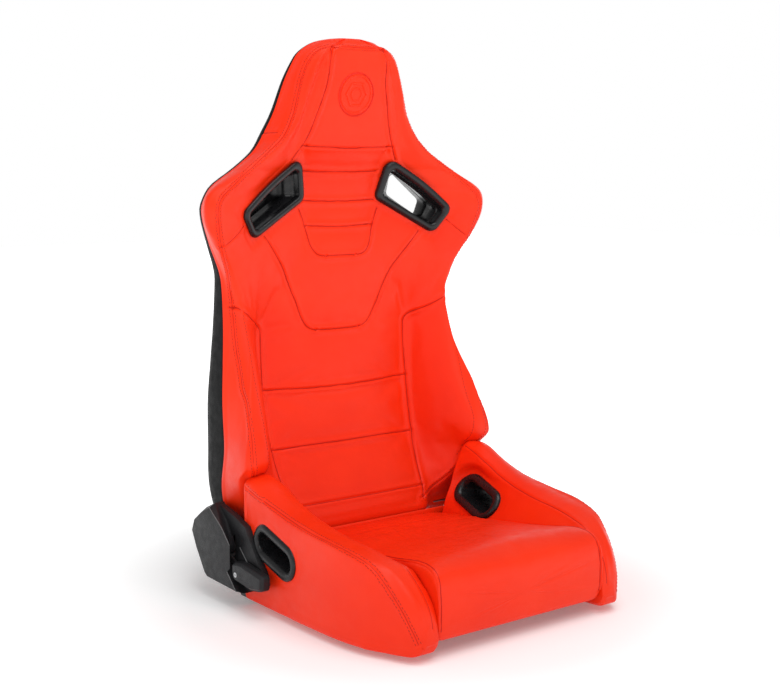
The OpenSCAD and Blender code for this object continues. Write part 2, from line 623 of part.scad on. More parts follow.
left() side_member();  // side_member_left
right() side_member();  // side_member_right
mounting_bosses();
cross_tube(tube_y[0]);  // front_cross_tube
cross_tube(tube_y[1]);  // rear_cross_tube
seat_springs();
seat_cushion();
left() base_bolster();  // base_bolster_left
right() base_bolster();  // base_bolster_right
left() lap_bezel_outer();  // lap_bezel_outer_left
right() lap_bezel_outer();  // lap_bezel_outer_right
left() lap_bezel_inner();  // lap_bezel_inner_left
right() lap_bezel_inner();  // lap_bezel_inner_right
left() recliner_housing();  // recliner_housing_left
right() recliner_housing();  // recliner_housing_right
left() recliner_cover(true);  // recliner_cover_left
right() recliner_cover(false);  // recliner_cover_right
cover_studs();
lever_return_spring();
release_shaft();
recliner_cams();
lever_arm();
lever_grip();
lever_screw();
upper_pawls();
lower_pawls();
left() recliner_ring();  // recliner_ring_left
right() recliner_ring();  // recliner_ring_right
left() back_plate();  // back_plate_left
right() back_plate();  // back_plate_right
back_hoop();
cross_bar(back_plate_x, 222, 148);  // lower_cross_bar
cross_bar(204, 226, 500);  // upper_cross_bar
back_springs();
lumbar_pad();
left() back_bolster();  // back_bolster_left
right() back_bolster();  // back_bolster_right
upper_center_pad();
left() shoulder_pad();  // shoulder_pad_left
right() shoulder_pad();  // shoulder_pad_right
headrest_pad();
back_shell();
shell_screws();
left() harness_bezel();  // harness_bezel_left
right() harness_bezel();  // harness_bezel_right
left() harness_duct();  // harness_duct_left
right() harness_duct();  // harness_duct_right
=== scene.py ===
"""Racing seat: leatherette covers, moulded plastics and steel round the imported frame.

Lengths are in millimetres until a mesh is made; meshes are in metres, in the frame's axes (+Z up,
the seat faces -Y). The tables are [height or depth, size]. They start from the ones that the CAD
model is lofted from, and the bolsters' are a little fuller.
"""
import json
import math

import bmesh
import bpy
import numpy as np
from mathutils import Matrix, Vector
from mathutils.bvhtree import BVHTree
from mathutils.kdtree import KDTree


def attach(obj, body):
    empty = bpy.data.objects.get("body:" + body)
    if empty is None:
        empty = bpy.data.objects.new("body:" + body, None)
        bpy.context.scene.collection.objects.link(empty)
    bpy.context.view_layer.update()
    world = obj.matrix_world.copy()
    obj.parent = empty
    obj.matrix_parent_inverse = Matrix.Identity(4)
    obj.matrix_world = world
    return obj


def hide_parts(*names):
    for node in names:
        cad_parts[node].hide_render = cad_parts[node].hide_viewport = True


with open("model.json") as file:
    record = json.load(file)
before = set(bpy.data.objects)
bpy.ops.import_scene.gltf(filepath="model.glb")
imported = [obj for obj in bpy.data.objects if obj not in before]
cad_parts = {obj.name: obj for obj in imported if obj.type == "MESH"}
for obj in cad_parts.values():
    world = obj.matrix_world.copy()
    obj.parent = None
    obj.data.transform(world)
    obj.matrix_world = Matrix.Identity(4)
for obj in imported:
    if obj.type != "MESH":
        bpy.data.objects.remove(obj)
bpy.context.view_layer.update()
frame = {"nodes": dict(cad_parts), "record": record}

# ---- sizes ----

# the back, by height z: edge, seam, crest, centre panel, joint with the shell, and the shell itself
EDGE_X = [[100, 212], [118, 220], [150, 232], [185, 245], [205, 251], [240, 249], [268, 241], [300, 233],
          [335, 226], [360, 219], [390, 213], [430, 212], [467, 216], [489, 223], [522, 234], [564, 260],
          [590, 275], [614, 280], [638, 275], [654, 256], [674, 217], [690, 190], [707, 165], [733, 143],
          [767, 123], [796, 113], [820, 106], [845, 96], [860, 88], [872, 75], [881, 56], [886, 30]]
SEAM_Y = [[100, 165], [150, 145], [190, 127], [200, 122], [210, 110], [222, 101], [250, 104], [301, 119],
          [370, 147], [426, 167], [466, 180], [510, 178], [560, 165], [614, 155], [645, 156], [674, 163],
          [707, 168], [733, 174], [767, 174], [820, 170], [854, 166], [886, 172]]
CREST_X = [[100, 170], [150, 190], [185, 204], [217, 209], [251, 208], [313, 200], [379, 196], [452, 198],
           [500, 204], [560, 230], [612, 252], [640, 244], [670, 200], [700, 150], [733, 122], [765, 105],
           [800, 96], [850, 76], [872, 54], [886, 16]]
CREST_Y = [[100, 162], [125, 146], [150, 134], [190, 124], [200, 121], [210, 109], [222, 99], [251, 102],
           [313, 131], [379, 156], [452, 178], [500, 179], [560, 165], [612, 151], [640, 152], [670, 159],
           [700, 163], [733, 161], [765, 158], [800, 153], [850, 147], [870, 149], [886, 164]]
PANEL_X = [[100, 135], [222, 144], [316, 147], [400, 149], [450, 140], [500, 110], [560, 82], [620, 74],
           [680, 84], [713, 89], [790, 76], [850, 54], [872, 36], [886, 8]]
PANEL_Y = [[100, 140], [133, 150], [180, 176], [222, 193], [270, 207], [316, 213], [418, 219], [470, 211],
           [535, 200], [585, 203], [626, 205], [674, 198], [692, 189], [713, 176], [760, 163], [810, 152],
           [868, 145], [886, 164]]
CROWN = [[100, 0], [220, 7], [420, 10], [520, 2], [886, 1]]
JOINT_X = [[100, 233], [160, 241], [200, 243], [300, 241], [373, 233], [430, 229], [500, 229], [522, 233],
           [564, 248], [614, 261], [638, 253], [654, 240], [674, 209], [690, 186], [707, 165], [733, 146],
           [767, 126], [820, 107], [845, 96], [860, 88], [872, 74], [881, 55], [886, 29]]
JOINT_Y = [[100, 182], [169, 190], [237, 179], [285, 183], [377, 196], [488, 203], [560, 208], [640, 206],
           [700, 205], [760, 207], [820, 202], [870, 192], [886, 186]]
REAR_Y = [[100, 254], [144, 275], [200, 285], [290, 288], [373, 284], [456, 273], [533, 262], [600, 256],
          [660, 250], [720, 243], [780, 235], [830, 225], [860, 213], [880, 200], [886, 193]]
SHELL_ROUND = [[100, 0.5], [300, 0.5], [480, 0.55], [580, 0.8], [690, 0.8], [740, 0.6], [820, 0.6],
               [886, 0.7]]
SHELL_LOW = 112
BACK_LOW, BACK_TOP = 100, 886
BACK_STEPS = 92             # points of a back section from the middle to its side
CLOSED_Y = 180              # the back's top closes toward this depth

# the base, by depth y: bolster side, top, side seam and hem, and the cushion
OUT_X = [[-259, 190], [-256, 196], [-250, 202], [-236, 210], [-207, 222], [-177, 235], [-120, 244],
         [-60, 246], [118, 246]]
TOP_Z = [[-259, 44], [-256, 66], [-250, 84], [-240, 99], [-225, 114], [-205, 129], [-185, 138],
         [-150, 147], [-94, 153], [-40, 162], [3, 172], [44, 188], [75, 203], [95, 207], [108, 208],
         [118, 204]]
SIDE_Z = [[-259, 34], [-256, 54], [-250, 70], [-236, 88], [-225, 99], [-205, 116], [-177, 131],
          [-126, 145], [-55, 152], [3, 159], [52, 175], [85, 193], [104, 199], [118, 198]]
SEAT_X = [[-262, 162], [-200, 159], [-120, 153], [138, 150]]
SEAT_Z = [[-257, 92], [-254, 112], [-246, 125], [-230, 132], [-205, 133], [-150, 124], [-40, 110],
          [60, 98], [125, 89], [138, 78]]
SEAT_LOW_Z = [[-257, 46], [-253, 28], [-236, 24], [-222, 34], [-205, 62], [138, 64]]
HEM_Z = [[-259, 26], [-255, 15], [-240, 10], [-150, 9.6], [118, 9.6]]

# corners of a harness duct, in front and at the back: x, z, radius
DUCT = [(95, 681, 10), (84, 633, 10), (178, 585, 14), (194, 607, 13)]
DUCT_REAR = [(129, 680, 10), (123, 632, 10), (184, 596, 14), (193, 622, 13)]
DUCT_BOW = 3.4              # how far the bezel's upper side is bowed
COVER_CUT = 8.2             # the cover ends this far inside the bezel's outline

# lap belt opening: an obround flange, tilted in the YZ plane, on a slot that runs inward
LAP_TILT = math.radians(17)
LAP_LENGTH, LAP_RADIUS = 116, 28
LAP_OUT_X, LAP_RUN = 249, 95                # the slot's outer end, and its length along X
LAP_OUT, LAP_IN = (29, 104), (50, 131)      # the slot's middle (y, z) at either end
FACE_IN = (172, 124)                        # a point (x, z) of the bolster's inner face
FACE_TILT = math.radians(32.7)              # and the lean of that face
BASE_HALF_W = 245

PRESSURE, SWELL = 4, 5                      # a cover is blown up by this, moving no more than SWELL
HELD, LET_GO = 3, 9                         # it is held down near a seam, then let go over LET_GO
SEAM_REACH = 5                              # its mesh is refined this near a seam
THREAD_ROWS = (-4.5, 4.5)                   # rows of stitches on either side of a seam
# the dark cords in the seams are painted shade of the seam valleys
CORD_LIFT = -0.2                            # seam cords lie this deep


def at(table, key):
    """Smooth curve through a [key, value] table, at one key or an array of keys."""
    t = np.asarray(table, float)
    k = np.clip(np.asarray(key, float), t[0, 0], t[-1, 0])
    i = np.clip(np.searchsorted(t[:, 0], k, side="right") - 1, 0, len(t) - 2)
    rise = np.empty(len(t))
    for j in range(len(t)):
        a, b = max(j - 1, 0), min(j + 1, len(t) - 1)
        rise[j] = (t[b, 1] - t[a, 1]) / (t[b, 0] - t[a, 0])
    h = t[i + 1, 0] - t[i, 0]
    s = (k - t[i, 0]) / h
    return (t[i, 1] * (1 + s * s * (2 * s - 3)) + t[i + 1, 1] * s * s * (3 - 2 * s)
            + rise[i] * h * s * (1 - s) ** 2 + rise[i + 1] * h * s * s * (s - 1))


def bend(points, n):
    """Smooth curve through points, n steps from each to the next. Points may be rows of arrays."""
    p = [np.asarray(q, float) for q in points]
    m = len(p) - 1
    out = []
    for i in range(m):
        a, b, c, d = p[max(i - 1, 0)], p[i], p[i + 1], p[min(i + 2, m)]
        for j in range(n):
            t = j / n
            out.append(0.5 * (2 * b + t * (c - a) + t * t * (2 * a - 5 * b + 4 * c - d)
                              + t ** 3 * (3 * b - a - 3 * c + d)))
    return np.array(out + [p[m]])


def smoothstep(t):
    """0 below 0, 1 above 1, and smooth between."""
    t = np.clip(t, 0, 1)
    return t * t * (3 - 2 * t)


def spaced(line, count):
    """A polyline's points, evenly spaced along it."""
    line = np.asarray(line, float)
    run = np.concatenate([[0], np.cumsum(np.linalg.norm(np.diff(line, axis=0), axis=1))])
    at_run = np.linspace(0, run[-1], count)
    return np.stack([np.interp(at_run, run, line[:, k]) for k in range(line.shape[1])], axis=1)


# ---- mesh helpers ----

def mesh_object(name, points, faces):
    """A smooth mesh from points in millimetres."""
    mesh = bpy.data.meshes.new(name)
    mesh.from_pydata((np.asarray(points, float) / 1000).tolist(), [], faces)
    mesh.validate()
    mesh.update()
    obj = bpy.data.objects.new(name, mesh)
    bpy.context.scene.collection.objects.link(obj)
    mesh.polygons.foreach_set("use_smooth", [True] * len(mesh.polygons))
    return obj


def grid_faces(rows, cols, closed=False, first=0, flip=False):
    """Quads between rows of points, from point number first on."""
    faces = []
    for i in range(rows - 1):
        for j in range(cols if closed else cols - 1):
            a, b = first + i * cols + j, first + i * cols + (j + 1) % cols
            quad = (a, b, b + cols, a + cols)
            faces.append(quad[::-1] if flip else quad)
    return faces


def rings_object(name, rings, caps=True, flip=False):
    """A mesh through closed rings of equally many points, with fans over its ends."""
    rings = np.asarray(rings, float)
    rows, cols = rings.shape[:2]
    points = rings.reshape(-1, 3).tolist()
    faces = grid_faces(rows, cols, True, 0, flip)
    if caps:
        for row, turn in ((0, not flip), (rows - 1, flip)):
            points.append(rings[row].mean(axis=0).tolist())
            mid = len(points) - 1
            for j in range(cols):
                tri = (row * cols + j, row * cols + (j + 1) % cols, mid)
                faces.append(tri[::-1] if turn else tri)
    return mesh_object(name, points, faces)


def ring_at(y, section):
    """A section's (x, z) points as a ring at depth y."""
    return np.column_stack([section[:, 0], np.full(len(section), y), section[:, 1]])


def coords(obj):
    """A mesh's points in millimetres."""
    co = np.empty(len(obj.data.vertices) * 3)
    obj.data.vertices.foreach_get("co", co)
    return co.reshape(-1, 3) * 1000


def set_coords(obj, co):
    obj.data.vertices.foreach_set("co", (np.asarray(co) / 1000).ravel())
    obj.data.update()


def normals(obj):
    n = np.empty(len(obj.data.vertices) * 3)
    obj.data.vertex_normals.foreach_get("vector", n)
    return n.reshape(-1, 3)


def apply_modifiers(obj):
    depsgraph = bpy.context.evaluated_depsgraph_get()
    done = bpy.data.meshes.new_from_object(obj.evaluated_get(depsgraph))
    obj.modifiers.clear()
    old = obj.data
    obj.data = done
    bpy.data.meshes.remove(old)


def subdivide(obj):
    mod = obj.modifiers.new("subdivide", "SUBSURF")
    mod.levels = mod.render_levels = 1
    apply_modifiers(obj)


def bevel(obj, width, segments, angle):
    """Rounds the edges sharper than angle, in degrees. width is in metres."""
    mod = obj.modifiers.new("edge", "BEVEL")
    mod.width, mod.segments, mod.limit_method = width, segments, "ANGLE"
    mod.angle_limit = math.radians(angle)
    apply_modifiers(obj)


def keep_faces(obj, keep):
    """Removes the faces whose middle, in millimetres, keep() is false for."""
    bm = bmesh.new()
    bm.from_mesh(obj.data)
    gone = [f for f in bm.faces if not keep(f.calc_center_median() * 1000)]
    bmesh.ops.delete(bm, geom=gone, context="FACES")
    bm.to_mesh(obj.data)
    bm.free()


def surface_of(obj):
    """A tree of a mesh's faces, for on_surface() and facing()."""
    bm = bmesh.new()
    bm.from_mesh(obj.data)
    tree = BVHTree.FromBMesh(bm)
    bm.free()
    return tree


def on_surface(tree, p):
    """Nearest point and normal of a surface to p, in millimetres."""
    hit, normal, _, _ = tree.find_nearest(Vector(p) / 1000)
    return np.array(hit) * 1000, np.array(normal)


def facing(tree, x, z):
    """Where a line along +Y meets the surface first, in millimetres."""
    hit, normal, _, _ = tree.ray_cast(Vector((x / 1000, -0.6, z / 1000)), Vector((0, 1, 0)))
    return None if hit is None else np.array(hit) * 1000


def mirrored(obj, name):
    """A copy mirrored to the other side."""
    copy = obj.copy()
    copy.data = obj.data.copy()
    copy.name = copy.data.name = name
    copy.data.transform(Matrix.Scale(-1, 4, (1, 0, 0)))
    copy.data.flip_normals()
    bpy.context.scene.collection.objects.link(copy)
    return copy


def inflate(obj, pins):
    """Swells a cover with cloth pressure, held where pins is 1. No point moves more than SWELL."""
    frames = 20
    rest = coords(obj)
    group = obj.vertex_groups.new(name="pin")
    for level in np.unique(np.round(pins, 1)):
        if level > 0:
            group.add(np.flatnonzero(np.round(pins, 1) == level).tolist(), float(level), "REPLACE")
    cloth = obj.modifiers.new("inflate", "CLOTH")
    cloth.settings.vertex_group_mass = "pin"
    cloth.settings.use_pressure = True
    cloth.settings.uniform_pressure_force = PRESSURE
    cloth.settings.bending_stiffness = 2
    cloth.settings.effector_weights.gravity = 0
    cloth.settings.quality = 4
    cloth.point_cache.frame_start, cloth.point_cache.frame_end = 1, frames
    scene = bpy.context.scene
    for step in range(1, frames + 1):
        scene.frame_set(step)
    solved = obj.evaluated_get(bpy.context.evaluated_depsgraph_get())
    co = np.empty(len(rest) * 3)
    solved.data.vertices.foreach_get("co", co)
    move = co.reshape(-1, 3) * 1000 - rest
    obj.modifiers.remove(cloth)
    scene.frame_set(1)
    length = np.linalg.norm(move, axis=1, keepdims=True) + 1e-9
    set_coords(obj, rest + move / length * SWELL * np.tanh(length / SWELL))


# ---- seams ----

def seam_line(tree, points):
    """Surface points along a seam, 1 mm apart, through (x, z), met from the front, or (x, y, z)."""
    known = []
    for p in points:
        q = facing(tree, p[0], p[1]) if len(p) == 2 else np.array(p, float)
        if q is not None:
            known.append(q)
    curve = bend(known, 12) if len(known) > 2 else np.array(known)
    length = np.linalg.norm(np.diff(curve, axis=0), axis=1).sum()
    return np.array([on_surface(tree, p)[0] for p in spaced(curve, max(int(length), 2))])


def seam_distance(co, lines):
    """Distance of each point to the nearest seam, and how far along that seam it is."""
    samples = np.concatenate(lines)
    run = np.concatenate([np.arange(len(line)) for line in lines])
    tree = KDTree(len(samples))
    for i, p in enumerate(samples):
        tree.insert(p, i)
    tree.balance()
    found = [tree.find(p) for p in co]
    return np.array([f[2] for f in found]), run[[f[1] for f in found]]


def stretch(obj, lines, edge, sink):
    """Sinks a cover and blows it up again, held down along its seams and where edge is set."""
    start = coords(obj)
    distance, _ = seam_distance(start, lines)
    pins = np.maximum(1 - smoothstep((distance - HELD) / LET_GO), edge)
    set_coords(obj, start - normals(obj) * (sink * (1 - pins))[:, None])
    inflate(obj, pins)


def refine(obj, lines):
    """Splits each face near a seam into sixteen, and smooths them."""
    d, _ = seam_distance(coords(obj), lines)
    bm = bmesh.new()
    bm.from_mesh(obj.data)
    near = [f for f in bm.faces if min(d[v.index] for v in f.verts) < SEAM_REACH]
    edges = list({e for f in near for e in f.edges})
    bmesh.ops.subdivide_edges(bm, edges=edges, cuts=3, use_grid_fill=True)
    bm.verts.ensure_lookup_table()
    fresh = [v for v in bm.verts if not v.is_boundary
             and (v.index >= len(d) or v.index < 0 or d[v.index] < SEAM_REACH)]
    for _ in range(4):
        bmesh.ops.smooth_vert(bm, verts=fresh, factor=0.5,
                              use_axis_x=True, use_axis_y=True, use_axis_z=True)
    bm.to_mesh(obj.data)
    bm.free()
    obj.data.polygons.foreach_set("use_smooth", [True] * len(obj.data.polygons))


def sew(obj, lines, depth, width, pucker):
    """Pulls the cover down into a sharp valley along the seams, with small puckers beside it."""
    co, n = coords(obj), normals(obj)
    d, run = seam_distance(co, lines)
    valley = depth * (0.6 * np.exp(-d / (0.6 * width)) + 0.4 * np.exp(-(d / (2.2 * width)) ** 2))
    beside = np.exp(-((d - 3 * width) / (2 * width)) ** 2)
    wave = pucker * np.sin(run * 0.42 + 2.2 * np.sin(run * 0.083)) * beside
    set_coords(obj, co + n * (0.15 * depth * beside + wave - valley)[:, None])


def stitches(name, tree, lines, offsets, length=3.6, pitch=5.2, radius=0.6, lift=0.1):
    """Thread stitches along seams, in rows at these distances beside them."""
    sides, points, faces = 6, [], []
    for line in lines:
        for off in offsets:
            count = int(len(line) / pitch)
            for k in range(count):
                i = int((k + 0.5) * pitch)
                if i + 2 >= len(line) or i < 2:
                    continue
                p = line[i]
                w = line[i + 2] - line[i - 2]
                w = w / (np.linalg.norm(w) + 1e-9)
                _, n = on_surface(tree, p)
                u = np.cross(w, n)
                u /= np.linalg.norm(u) + 1e-9
                p, n = on_surface(tree, p + u * off)
                v = np.cross(u, w)
                base = len(points)
                for s, r in ((-0.5, 0.35), (-0.36, 0.9), (0.36, 0.9), (0.5, 0.35)):
                    mid = p + w * s * length + n * (lift - 0.35 * abs(s))
                    for a in range(sides):
                        c, q = math.cos(math.tau * a / sides), math.sin(math.tau * a / sides)
                        points.append(mid + radius * r * (u * c + v * q))
                faces += grid_faces(4, sides, True, base)
                faces.append([base + a for a in range(sides)][::-1])
                faces.append([base + 3 * sides + a for a in range(sides)])
    return mesh_object(name, points, faces)


def evened(path, reach=4):
    """The path with its small jitter averaged out; the ends stay."""
    out = path.copy()
    for i in range(len(path)):
        k = min(reach, i, len(path) - 1 - i)
        out[i] = path[i - k:i + k + 1].mean(axis=0)
    return out


def seam_shade_cords(name, tree, lines, radius, lift, sides=6):
    """Thin dark cords lying in the bottom of the seams: painted shade along the seam valleys."""
    points, faces = [], []
    for line in lines:
        pairs = [on_surface(tree, p) for p in line[::2]]
        path = evened(np.array([p for p, n in pairs]))
        across = evened(np.array([n for p, n in pairs]))
        base = len(points)
        for i, (p, n) in enumerate(zip(path, across)):
            w = path[min(i + 1, len(pairs) - 1)] - path[max(i - 1, 0)]
            u = np.cross(w, n)
            u = u / (np.linalg.norm(u) + 1e-9)
            for a in range(sides):
                c, q = math.cos(math.tau * a / sides), math.sin(math.tau * a / sides)
                points.append(p + n * lift + radius * (u * c + n * q))
        faces += grid_faces(len(pairs), sides, True, base)
        faces.append([base + a for a in range(sides)][::-1])
        faces.append([base + (len(pairs) - 1) * sides + a for a in range(sides)])
    return mesh_object(name, points, faces)


def tube(name, line, radius, sides=10):
    """A round cord along a line, with closed ends."""
    line = np.asarray(line, float)
    rings = []
    for i, p in enumerate(line):
        w = line[min(i + 1, len(line) - 1)] - line[max(i - 1, 0)]
        w /= np.linalg.norm(w)
        s = np.array([1.0, 0, 0]) if abs(w[0]) < 0.9 else np.array([0, 1.0, 0])
        u = np.cross(w, s)
        u /= np.linalg.norm(u)
        v = np.cross(w, u)
        turns = [math.tau * a / sides for a in range(sides)]
        rings.append([p + radius * (u * math.cos(a) + v * math.sin(a)) for a in turns])
    return rings_object(name, rings)


# ---- materials ----

def material(name, rough, metallic=0.0):
    mat = bpy.data.materials.new(name)
    mat.use_nodes = True
    nodes, links = mat.node_tree.nodes, mat.node_tree.links
    shader = nodes["Principled BSDF"]
    shader.inputs["Roughness"].default_value = rough
    shader.inputs["Metallic"].default_value = metallic
    place = nodes.new("ShaderNodeTexCoord").outputs["Object"]
    return mat, nodes, links, shader, place


def noise(nodes, links, place, scale, detail=3.0, kind="ShaderNodeTexNoise"):
    node = nodes.new(kind)
    node.inputs["Scale"].default_value = scale
    if "Detail" in node.inputs:
        node.inputs["Detail"].default_value = detail
    links.new(place, node.inputs["Vector"])
    return node


def ramp(nodes, links, source, stops, target):
    """A colour ramp into target, with stops (position, colour); a colour is (r, g, b) or (grey,)."""
    node = nodes.new("ShaderNodeValToRGB")
    while len(node.color_ramp.elements) < len(stops):
        node.color_ramp.elements.new(0.5)
    for element, (pos, colour) in zip(node.color_ramp.elements, stops):
        element.position = pos
        element.color = (*colour, 1) if len(colour) == 3 else (colour[0],) * 3 + (1,)
    links.new(source, node.inputs["Fac"])
    links.new(node.outputs["Color"], target)


def bump(nodes, links, source, strength, distance, after=None):
    node = nodes.new("ShaderNodeBump")
    node.inputs["Strength"].default_value = strength
    node.inputs["Distance"].default_value = distance
    links.new(source, node.inputs["Height"])
    if after is not None:
        links.new(after, node.inputs["Normal"])
    return node.outputs["Normal"]


def leatherette(name, dark, light, rough):
    """Soft, matt and finely grained, in a colour that drifts between dark and light."""
    mat, nodes, links, shader, place = material(name, rough)
    shader.inputs["Specular IOR Level"].default_value = 0.2
    cloudy = noise(nodes, links, place, 9, 4)
    ramp(nodes, links, cloudy.outputs["Fac"], [(0.3, dark), (0.7, light)], shader.inputs["Base Color"])
    worn = noise(nodes, links, place, 60, 5)
    shades = [(0.3, (rough - 0.07,)), (0.7, (rough + 0.09,))]
    ramp(nodes, links, worn.outputs["Fac"], shades, shader.inputs["Roughness"])
    grain = noise(nodes, links, place, 620, kind="ShaderNodeTexVoronoi")
    grain.feature = "DISTANCE_TO_EDGE"
    pores = noise(nodes, links, place, 1500, 2)
    soft = noise(nodes, links, place, 26, 3)
    first = bump(nodes, links, soft.outputs["Fac"], 0.25, 0.004)
    second = bump(nodes, links, grain.outputs["Distance"], 0.32, 0.0006, first)
    third = bump(nodes, links, pores.outputs["Fac"], 0.12, 0.0004, second)
    links.new(third, shader.inputs["Normal"])
    return mat


def plastic(name, dark, light, rough, grain_scale, grain_strength, gloss):
    """Moulded plastic with a pebbled grain."""
    mat, nodes, links, shader, place = material(name, rough)
    shader.inputs["Specular IOR Level"].default_value = gloss
    cloudy = noise(nodes, links, place, 14, 3)
    ramp(nodes, links, cloudy.outputs["Fac"], [(0.3, dark), (0.7, light)], shader.inputs["Base Color"])
    wear = noise(nodes, links, place, 90, 4)
    shades = [(0.35, (rough - 0.06,)), (0.65, (rough + 0.08,))]
    ramp(nodes, links, wear.outputs["Fac"], shades, shader.inputs["Roughness"])
    grain = noise(nodes, links, place, grain_scale, kind="ShaderNodeTexVoronoi")
    links.new(bump(nodes, links, grain.outputs["Distance"], grain_strength, 0.0005),
              shader.inputs["Normal"])
    return mat


def steel(name, dark, light, rough, metallic):
    """Painted or bare steel, a little uneven."""
    mat, nodes, links, shader, place = material(name, rough, metallic)
    spots = noise(nodes, links, place, 45, 5)
    ramp(nodes, links, spots.outputs["Fac"], [(0.3, dark), (0.7, light)], shader.inputs["Base Color"])
    fine = noise(nodes, links, place, 700, 2)
    links.new(bump(nodes, links, fine.outputs["Fac"], 0.15, 0.0003), shader.inputs["Normal"])
    return mat


RED = leatherette("red_leatherette", (0.84, 0.024, 0.002), (0.9, 0.032, 0.004), 0.4)
THREAD = leatherette("red_thread", (0.4, 0.012, 0.006), (0.48, 0.016, 0.008), 0.55)
# darker red for the cords in the seam valleys: painted shade along the seams
SEAM_SHADE = leatherette("red_seam_shade", (0.5, 0.01, 0.004), (0.56, 0.013, 0.005), 0.6)
# darker red for the emblem's outer ring: painted shade of its embossed groove
EMBOSS_SHADE = leatherette("red_embossing_shade", (0.66, 0.014, 0.003), (0.72, 0.018, 0.004), 0.5)
SHELL = plastic("shell_plastic", (0.003, 0.003, 0.0033), (0.005, 0.005, 0.0055),
                rough=0.5, grain_scale=900, grain_strength=0.25, gloss=0.07)
BEZEL = plastic("bezel_plastic", (0.006, 0.006, 0.007), (0.01, 0.01, 0.011),
                rough=0.28, grain_scale=1400, grain_strength=0.08, gloss=0.35)
# lighter grey for the recliner covers' moulded ridges: painted highlight along their edges
RIDGE_HIGHLIGHT = plastic("ridge_plastic", (0.09, 0.09, 0.092), (0.13, 0.13, 0.132),
                rough=0.35, grain_scale=1000, grain_strength=0.1, gloss=0.4)
COVER = plastic("cover_plastic", (0.011, 0.011, 0.012), (0.018, 0.018, 0.02),
                rough=0.42, grain_scale=1000, grain_strength=0.35, gloss=0.22)
FRAME_PAINT = steel("frame_paint", (0.012, 0.012, 0.013), (0.02, 0.02, 0.021), 0.4, 0.0)
ZINC = steel("zinc", (0.5, 0.51, 0.52), (0.62, 0.63, 0.64), 0.3, 1.0)
WIRE = steel("spring_wire", (0.2, 0.2, 0.21), (0.3, 0.3, 0.31), 0.4, 1.0)
SLOT_MATERIAL = {"red_leatherette": RED, "shell_plastic": SHELL, "bezel_plastic": BEZEL,
                 "cover_plastic": COVER, "frame_steel": FRAME_PAINT, "zinc_steel": ZINC,
                 "spring_wire": WIRE}
NODE_SLOT = {s["node"]: s["material_slot"] for s in frame["record"]["subparts"]}


def finish_piece(obj, body, mat, replaces=()):
    """Gives a piece its material and body, and hides the CAD nodes that it stands for."""
    obj.data.materials.clear()
    obj.data.materials.append(mat)
    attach(obj, body)
    if replaces:
        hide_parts(*replaces)
    return obj


# ---- back cover ----

def front_half(z):
    """Half outline of the padded front at heights z: (steps, heights, 2)."""
    x1, y1, c = at(PANEL_X, z), at(PANEL_Y, z), at(CROWN, z)
    xc, yc, xe, ys = at(CREST_X, z), at(CREST_Y, z), at(EDGE_X, z), at(SEAM_Y, z)
    xj, yj = at(JOINT_X, z), at(JOINT_Y, z)
    corners = ([0 * x1, y1 - c], [x1 * 0.55, y1 - c * 0.7], [x1, y1], [(x1 + xc) / 2, (y1 + yc) / 2 + 3],
               [xc, yc], [xe - 5, ys - 1], [xe, ys + 14], [xj, yj])
    return bend([np.stack(p, -1) for p in corners], 10)


def bezel_plane(x, z):
    """Depth of the plane that a harness bezel's flange lies on."""
    return 187 - 0.29 * (abs(x) - 86) - 0.186 * (z - 692)


def rear_plane(x, z):
    """Depth of the plane that a duct's rear flange lies on."""
    return 254 - 0.15 * (abs(x) - 80) - 0.08 * (z - 640)


def tangent_lines(circles):
    """(normal x, normal z, offset) of the straight sides round a row of circles."""
    lines = []
    for i, (x0, z0, r0) in enumerate(circles):
        x1, z1, r1 = circles[(i + 1) % len(circles)]
        dx, dz = x1 - x0, z1 - z0
        length = math.hypot(dx, dz)
        turn = math.acos((r0 - r1) / length)
        a = math.atan2(dz, dx) - turn
        nx, nz = math.cos(a), math.sin(a)
        lines.append((nx, nz, nx * x0 + nz * z0 + r0))
    return lines


DUCT_LINES, REAR_LINES = tangent_lines(DUCT), tangent_lines(DUCT_REAR)


def inside_duct(x, z, lines=DUCT_LINES):
    """How far inside a harness bezel's outline a point is; negative outside."""
    x = np.abs(x)
    return np.min([h - (nx * x + nz * z) for nx, nz, h in lines], axis=0)


def duct_outline(lines, grow, radius, bow=0.0):
    """Points (x, z) of a duct outline moved out by grow, with a bowed upper side."""
    arc, side = 10, 12          # points of a corner and of a side
    arcs = []
    n = len(lines)
    for i in range(n):
        (ax, az, ah), (bx, bz, bh) = lines[i - 1], lines[i]
        det = ax * bz - az * bx
        ha, hb = ah + grow - radius, bh + grow - radius
        cx, cz = (ha * bz - hb * az) / det, (ax * hb - bx * ha) / det
        a0, a1 = math.atan2(az, ax), math.atan2(bz, bx)
        while a1 < a0:
            a1 += math.tau
        arcs.append([(cx + radius * math.cos(a), cz + radius * math.sin(a))
                     for a in np.linspace(a0, a1, arc)])
    ring = []
    for i in range(n):
        ring += arcs[i]
        p, q = np.array(arcs[i][-1]), np.array(arcs[(i + 1) % n][0])
        arch = np.array(lines[i][:2]) * bow * (i == n - 1)
        ring += [tuple(p + (q - p) * k / side + arch * math.sin(math.pi * k / side))
                 for k in range(1, side)]
    return np.array(ring)


